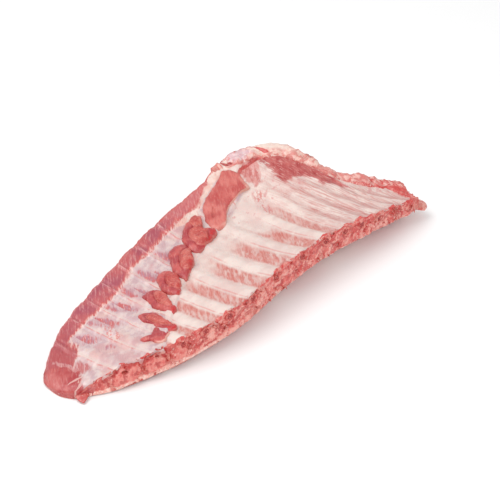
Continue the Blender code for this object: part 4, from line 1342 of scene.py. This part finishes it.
def shreds(name, side, start, finish, downs, count, seed):
    """Shreds between two shares down the wall, in one mesh."""
    draw = np.random.default_rng(seed)
    along, across = along_rim(side, np.sort(draw.uniform(start, finish, count)))
    edge = bone_side(along, across)
    ahead = unit(edge[:, :2] - sheet(*moved_in(side, along, across, 4.0))[:, :2])
    down = draw.uniform(*downs, count)
    root = edge.copy()
    root[:, :2] += ahead * rim_offset(along, across, down)[:, None]
    root[:, 2] += (underside_height(along, across) - edge[:, 2]) * down
    lead = np.column_stack([ahead, np.zeros(count)]) + draw.normal(0, 0.55, (count, 3))
    lead = unit(lead + (0, 0, 0.5 - np.mean(downs)))
    sideways = unit(np.cross(lead, (0.3, 0.2, 1.0)))
    up = np.cross(sideways, lead)
    steps = np.linspace(0, 1, SHRED_RINGS)[None, :, None]
    length = draw.uniform(*SHRED_LENGTH, count)[:, None, None]
    bend = draw.normal(0, 1.0, (count, 1, 3))
    path = root[:, None] + (steps * length - 1.2) * lead[:, None] + steps**2 * bend
    thick = draw.uniform(*SHRED_RADIUS, count)[:, None, None] * (1 - steps**3) ** 0.6 * (1 - 0.35 * steps)
    turns = even_turns(SHRED_SIDES)[None, None, :, None]
    loops = path[:, :, None] + thick[..., None] * (
        np.cos(turns) * sideways[:, None, None] + 0.6 * np.sin(turns) * up[:, None, None]
    )
    loops += 0.12 * bumps(loops, 1.5, seed)[..., None]
    faces = []
    for k in range(count):
        first = k * SHRED_RINGS * SHRED_SIDES
        last = first + (SHRED_RINGS - 1) * SHRED_SIDES
        for ring in range(first, last, SHRED_SIDES):
            for s in range(SHRED_SIDES):
                n = (s + 1) % SHRED_SIDES
                faces.append((ring + s, ring + SHRED_SIDES + s, ring + SHRED_SIDES + n, ring + n))
        faces.append(tuple(range(first, first + SHRED_SIDES)))
        faces.append(tuple(range(last + SHRED_SIDES - 1, last - 1, -1)))
    size = loops[..., 0].size
    rough = np.repeat(draw.uniform(-1.2, 1.2, count), SHRED_RINGS * SHRED_SIDES)
    alongs = np.repeat(along, SHRED_RINGS * SHRED_SIDES)
    piece = make_piece(
        name, loops.reshape(-1, 3), faces, place=np.full(size, 0.3), rough=rough, along=alongs,
    )
    return piece


SHREDS = (
    ("sawn_lip_shreds", "sawn", 0.03, 0.99, (0.0, 0.25), 80, sawn_face),
    ("sawn_face_shreds", "sawn", 0.05, 0.99, (0.3, 0.8), 80, sawn_face),
    ("sawn_foot_shreds", "sawn", 0.30, 0.99, (0.85, 0.98), 30, sawn_face),
    ("breastbone_shreds", "flank", 0.70, 0.90, (0.0, 0.35), 45, breastbone_rim),
    ("shoulder_shreds", "flank", 0.89, 0.99, (0.0, 0.35), 30, neck_trim),
    ("neck_shreds", "neck", 0.15, 0.93, (0.0, 0.4), 20, neck_trim),
)
for seed, (name, side, start, finish, downs, count, beside) in enumerate(SHREDS):
    torn = shreds(name, side, start, finish, downs, count, 90 + seed)
    torn.data.materials.append(beside.data.materials[0])

# The room: a plain pale table top, soft studio light from above, and the camera at the
# photograph's angle, looking down 34 degrees along the rack's long diagonal.
CAMERA_HEIGHT_ANGLE = math.radians(34.0)
CAMERA_TURN = math.radians(46.0)
CAMERA_DISTANCE = 1.5
LENS_MM_PER_PIXEL = 0.95
FRAME_PIXELS = 500
SENSOR = 36.0
TARGET = Vector((0.0, 0.0, 25.0))

floor_mesh = bpy.data.meshes.new("table_top")
floor_mesh.from_pydata([(-4, -4, 0), (4, -4, 0), (4, 4, 0), (-4, 4, 0)], [], [(0, 1, 2, 3)])
floor = bpy.data.objects.new("table_top", floor_mesh)
floor.location.z = -0.0004
bpy.context.scene.collection.objects.link(floor)
pale = bpy.data.materials.new("pale_table")
pale.use_nodes = True
pale.node_tree.nodes["Principled BSDF"].inputs["Base Color"].default_value = (0.93, 0.93, 0.93, 1)
pale.node_tree.nodes["Principled BSDF"].inputs["Roughness"].default_value = 0.6
floor.data.materials.append(pale)
floor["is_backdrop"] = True

world = bpy.data.worlds.new("studio")
world.use_nodes = True
world.node_tree.nodes["Background"].inputs["Color"].default_value = (1, 1, 1, 1)
world.node_tree.nodes["Background"].inputs["Strength"].default_value = 0.78
bpy.context.scene.world = world


def soft_light(name, place, size, power):
    """A square lamp of a size in metres and a power in watts, turned to the rack."""
    lamp = bpy.data.lights.new(name, "AREA")
    lamp.shape = "SQUARE"
    lamp.size = size
    lamp.energy = power
    holder = bpy.data.objects.new(name, lamp)
    holder.location = place
    holder.rotation_euler = (Vector((0, 0, 0)) - Vector(place)).to_track_quat("-Z", "Y").to_euler()
    bpy.context.scene.collection.objects.link(holder)


soft_light("window_light", (-0.55, 0.45, 1.25), 1.2, 11.5)
soft_light("front_light", (-0.45, -1.20, 0.70), 1.2, 6.8)

level = math.cos(CAMERA_HEIGHT_ANGLE)
sideways = Vector((math.sin(CAMERA_TURN), math.cos(CAMERA_TURN), 0))
forward = sideways * level - Vector((0, 0, math.sin(CAMERA_HEIGHT_ANGLE)))
target = (TARGET - Vector(BOX_MIDDLE)) * MM
lens = bpy.data.cameras.new("camera")
lens.sensor_width = SENSOR
lens.lens = SENSOR * (CAMERA_DISTANCE / (LENS_MM_PER_PIXEL * MM)) / FRAME_PIXELS
lens.clip_start = 0.05
camera = bpy.data.objects.new("camera", lens)
camera.location = target - forward * CAMERA_DISTANCE
camera.rotation_euler = forward.to_track_quat("-Z", "Y").to_euler()
bpy.context.scene.collection.objects.link(camera)
bpy.context.scene.camera = camera
bpy.context.scene.view_settings.view_transform = "Standard"
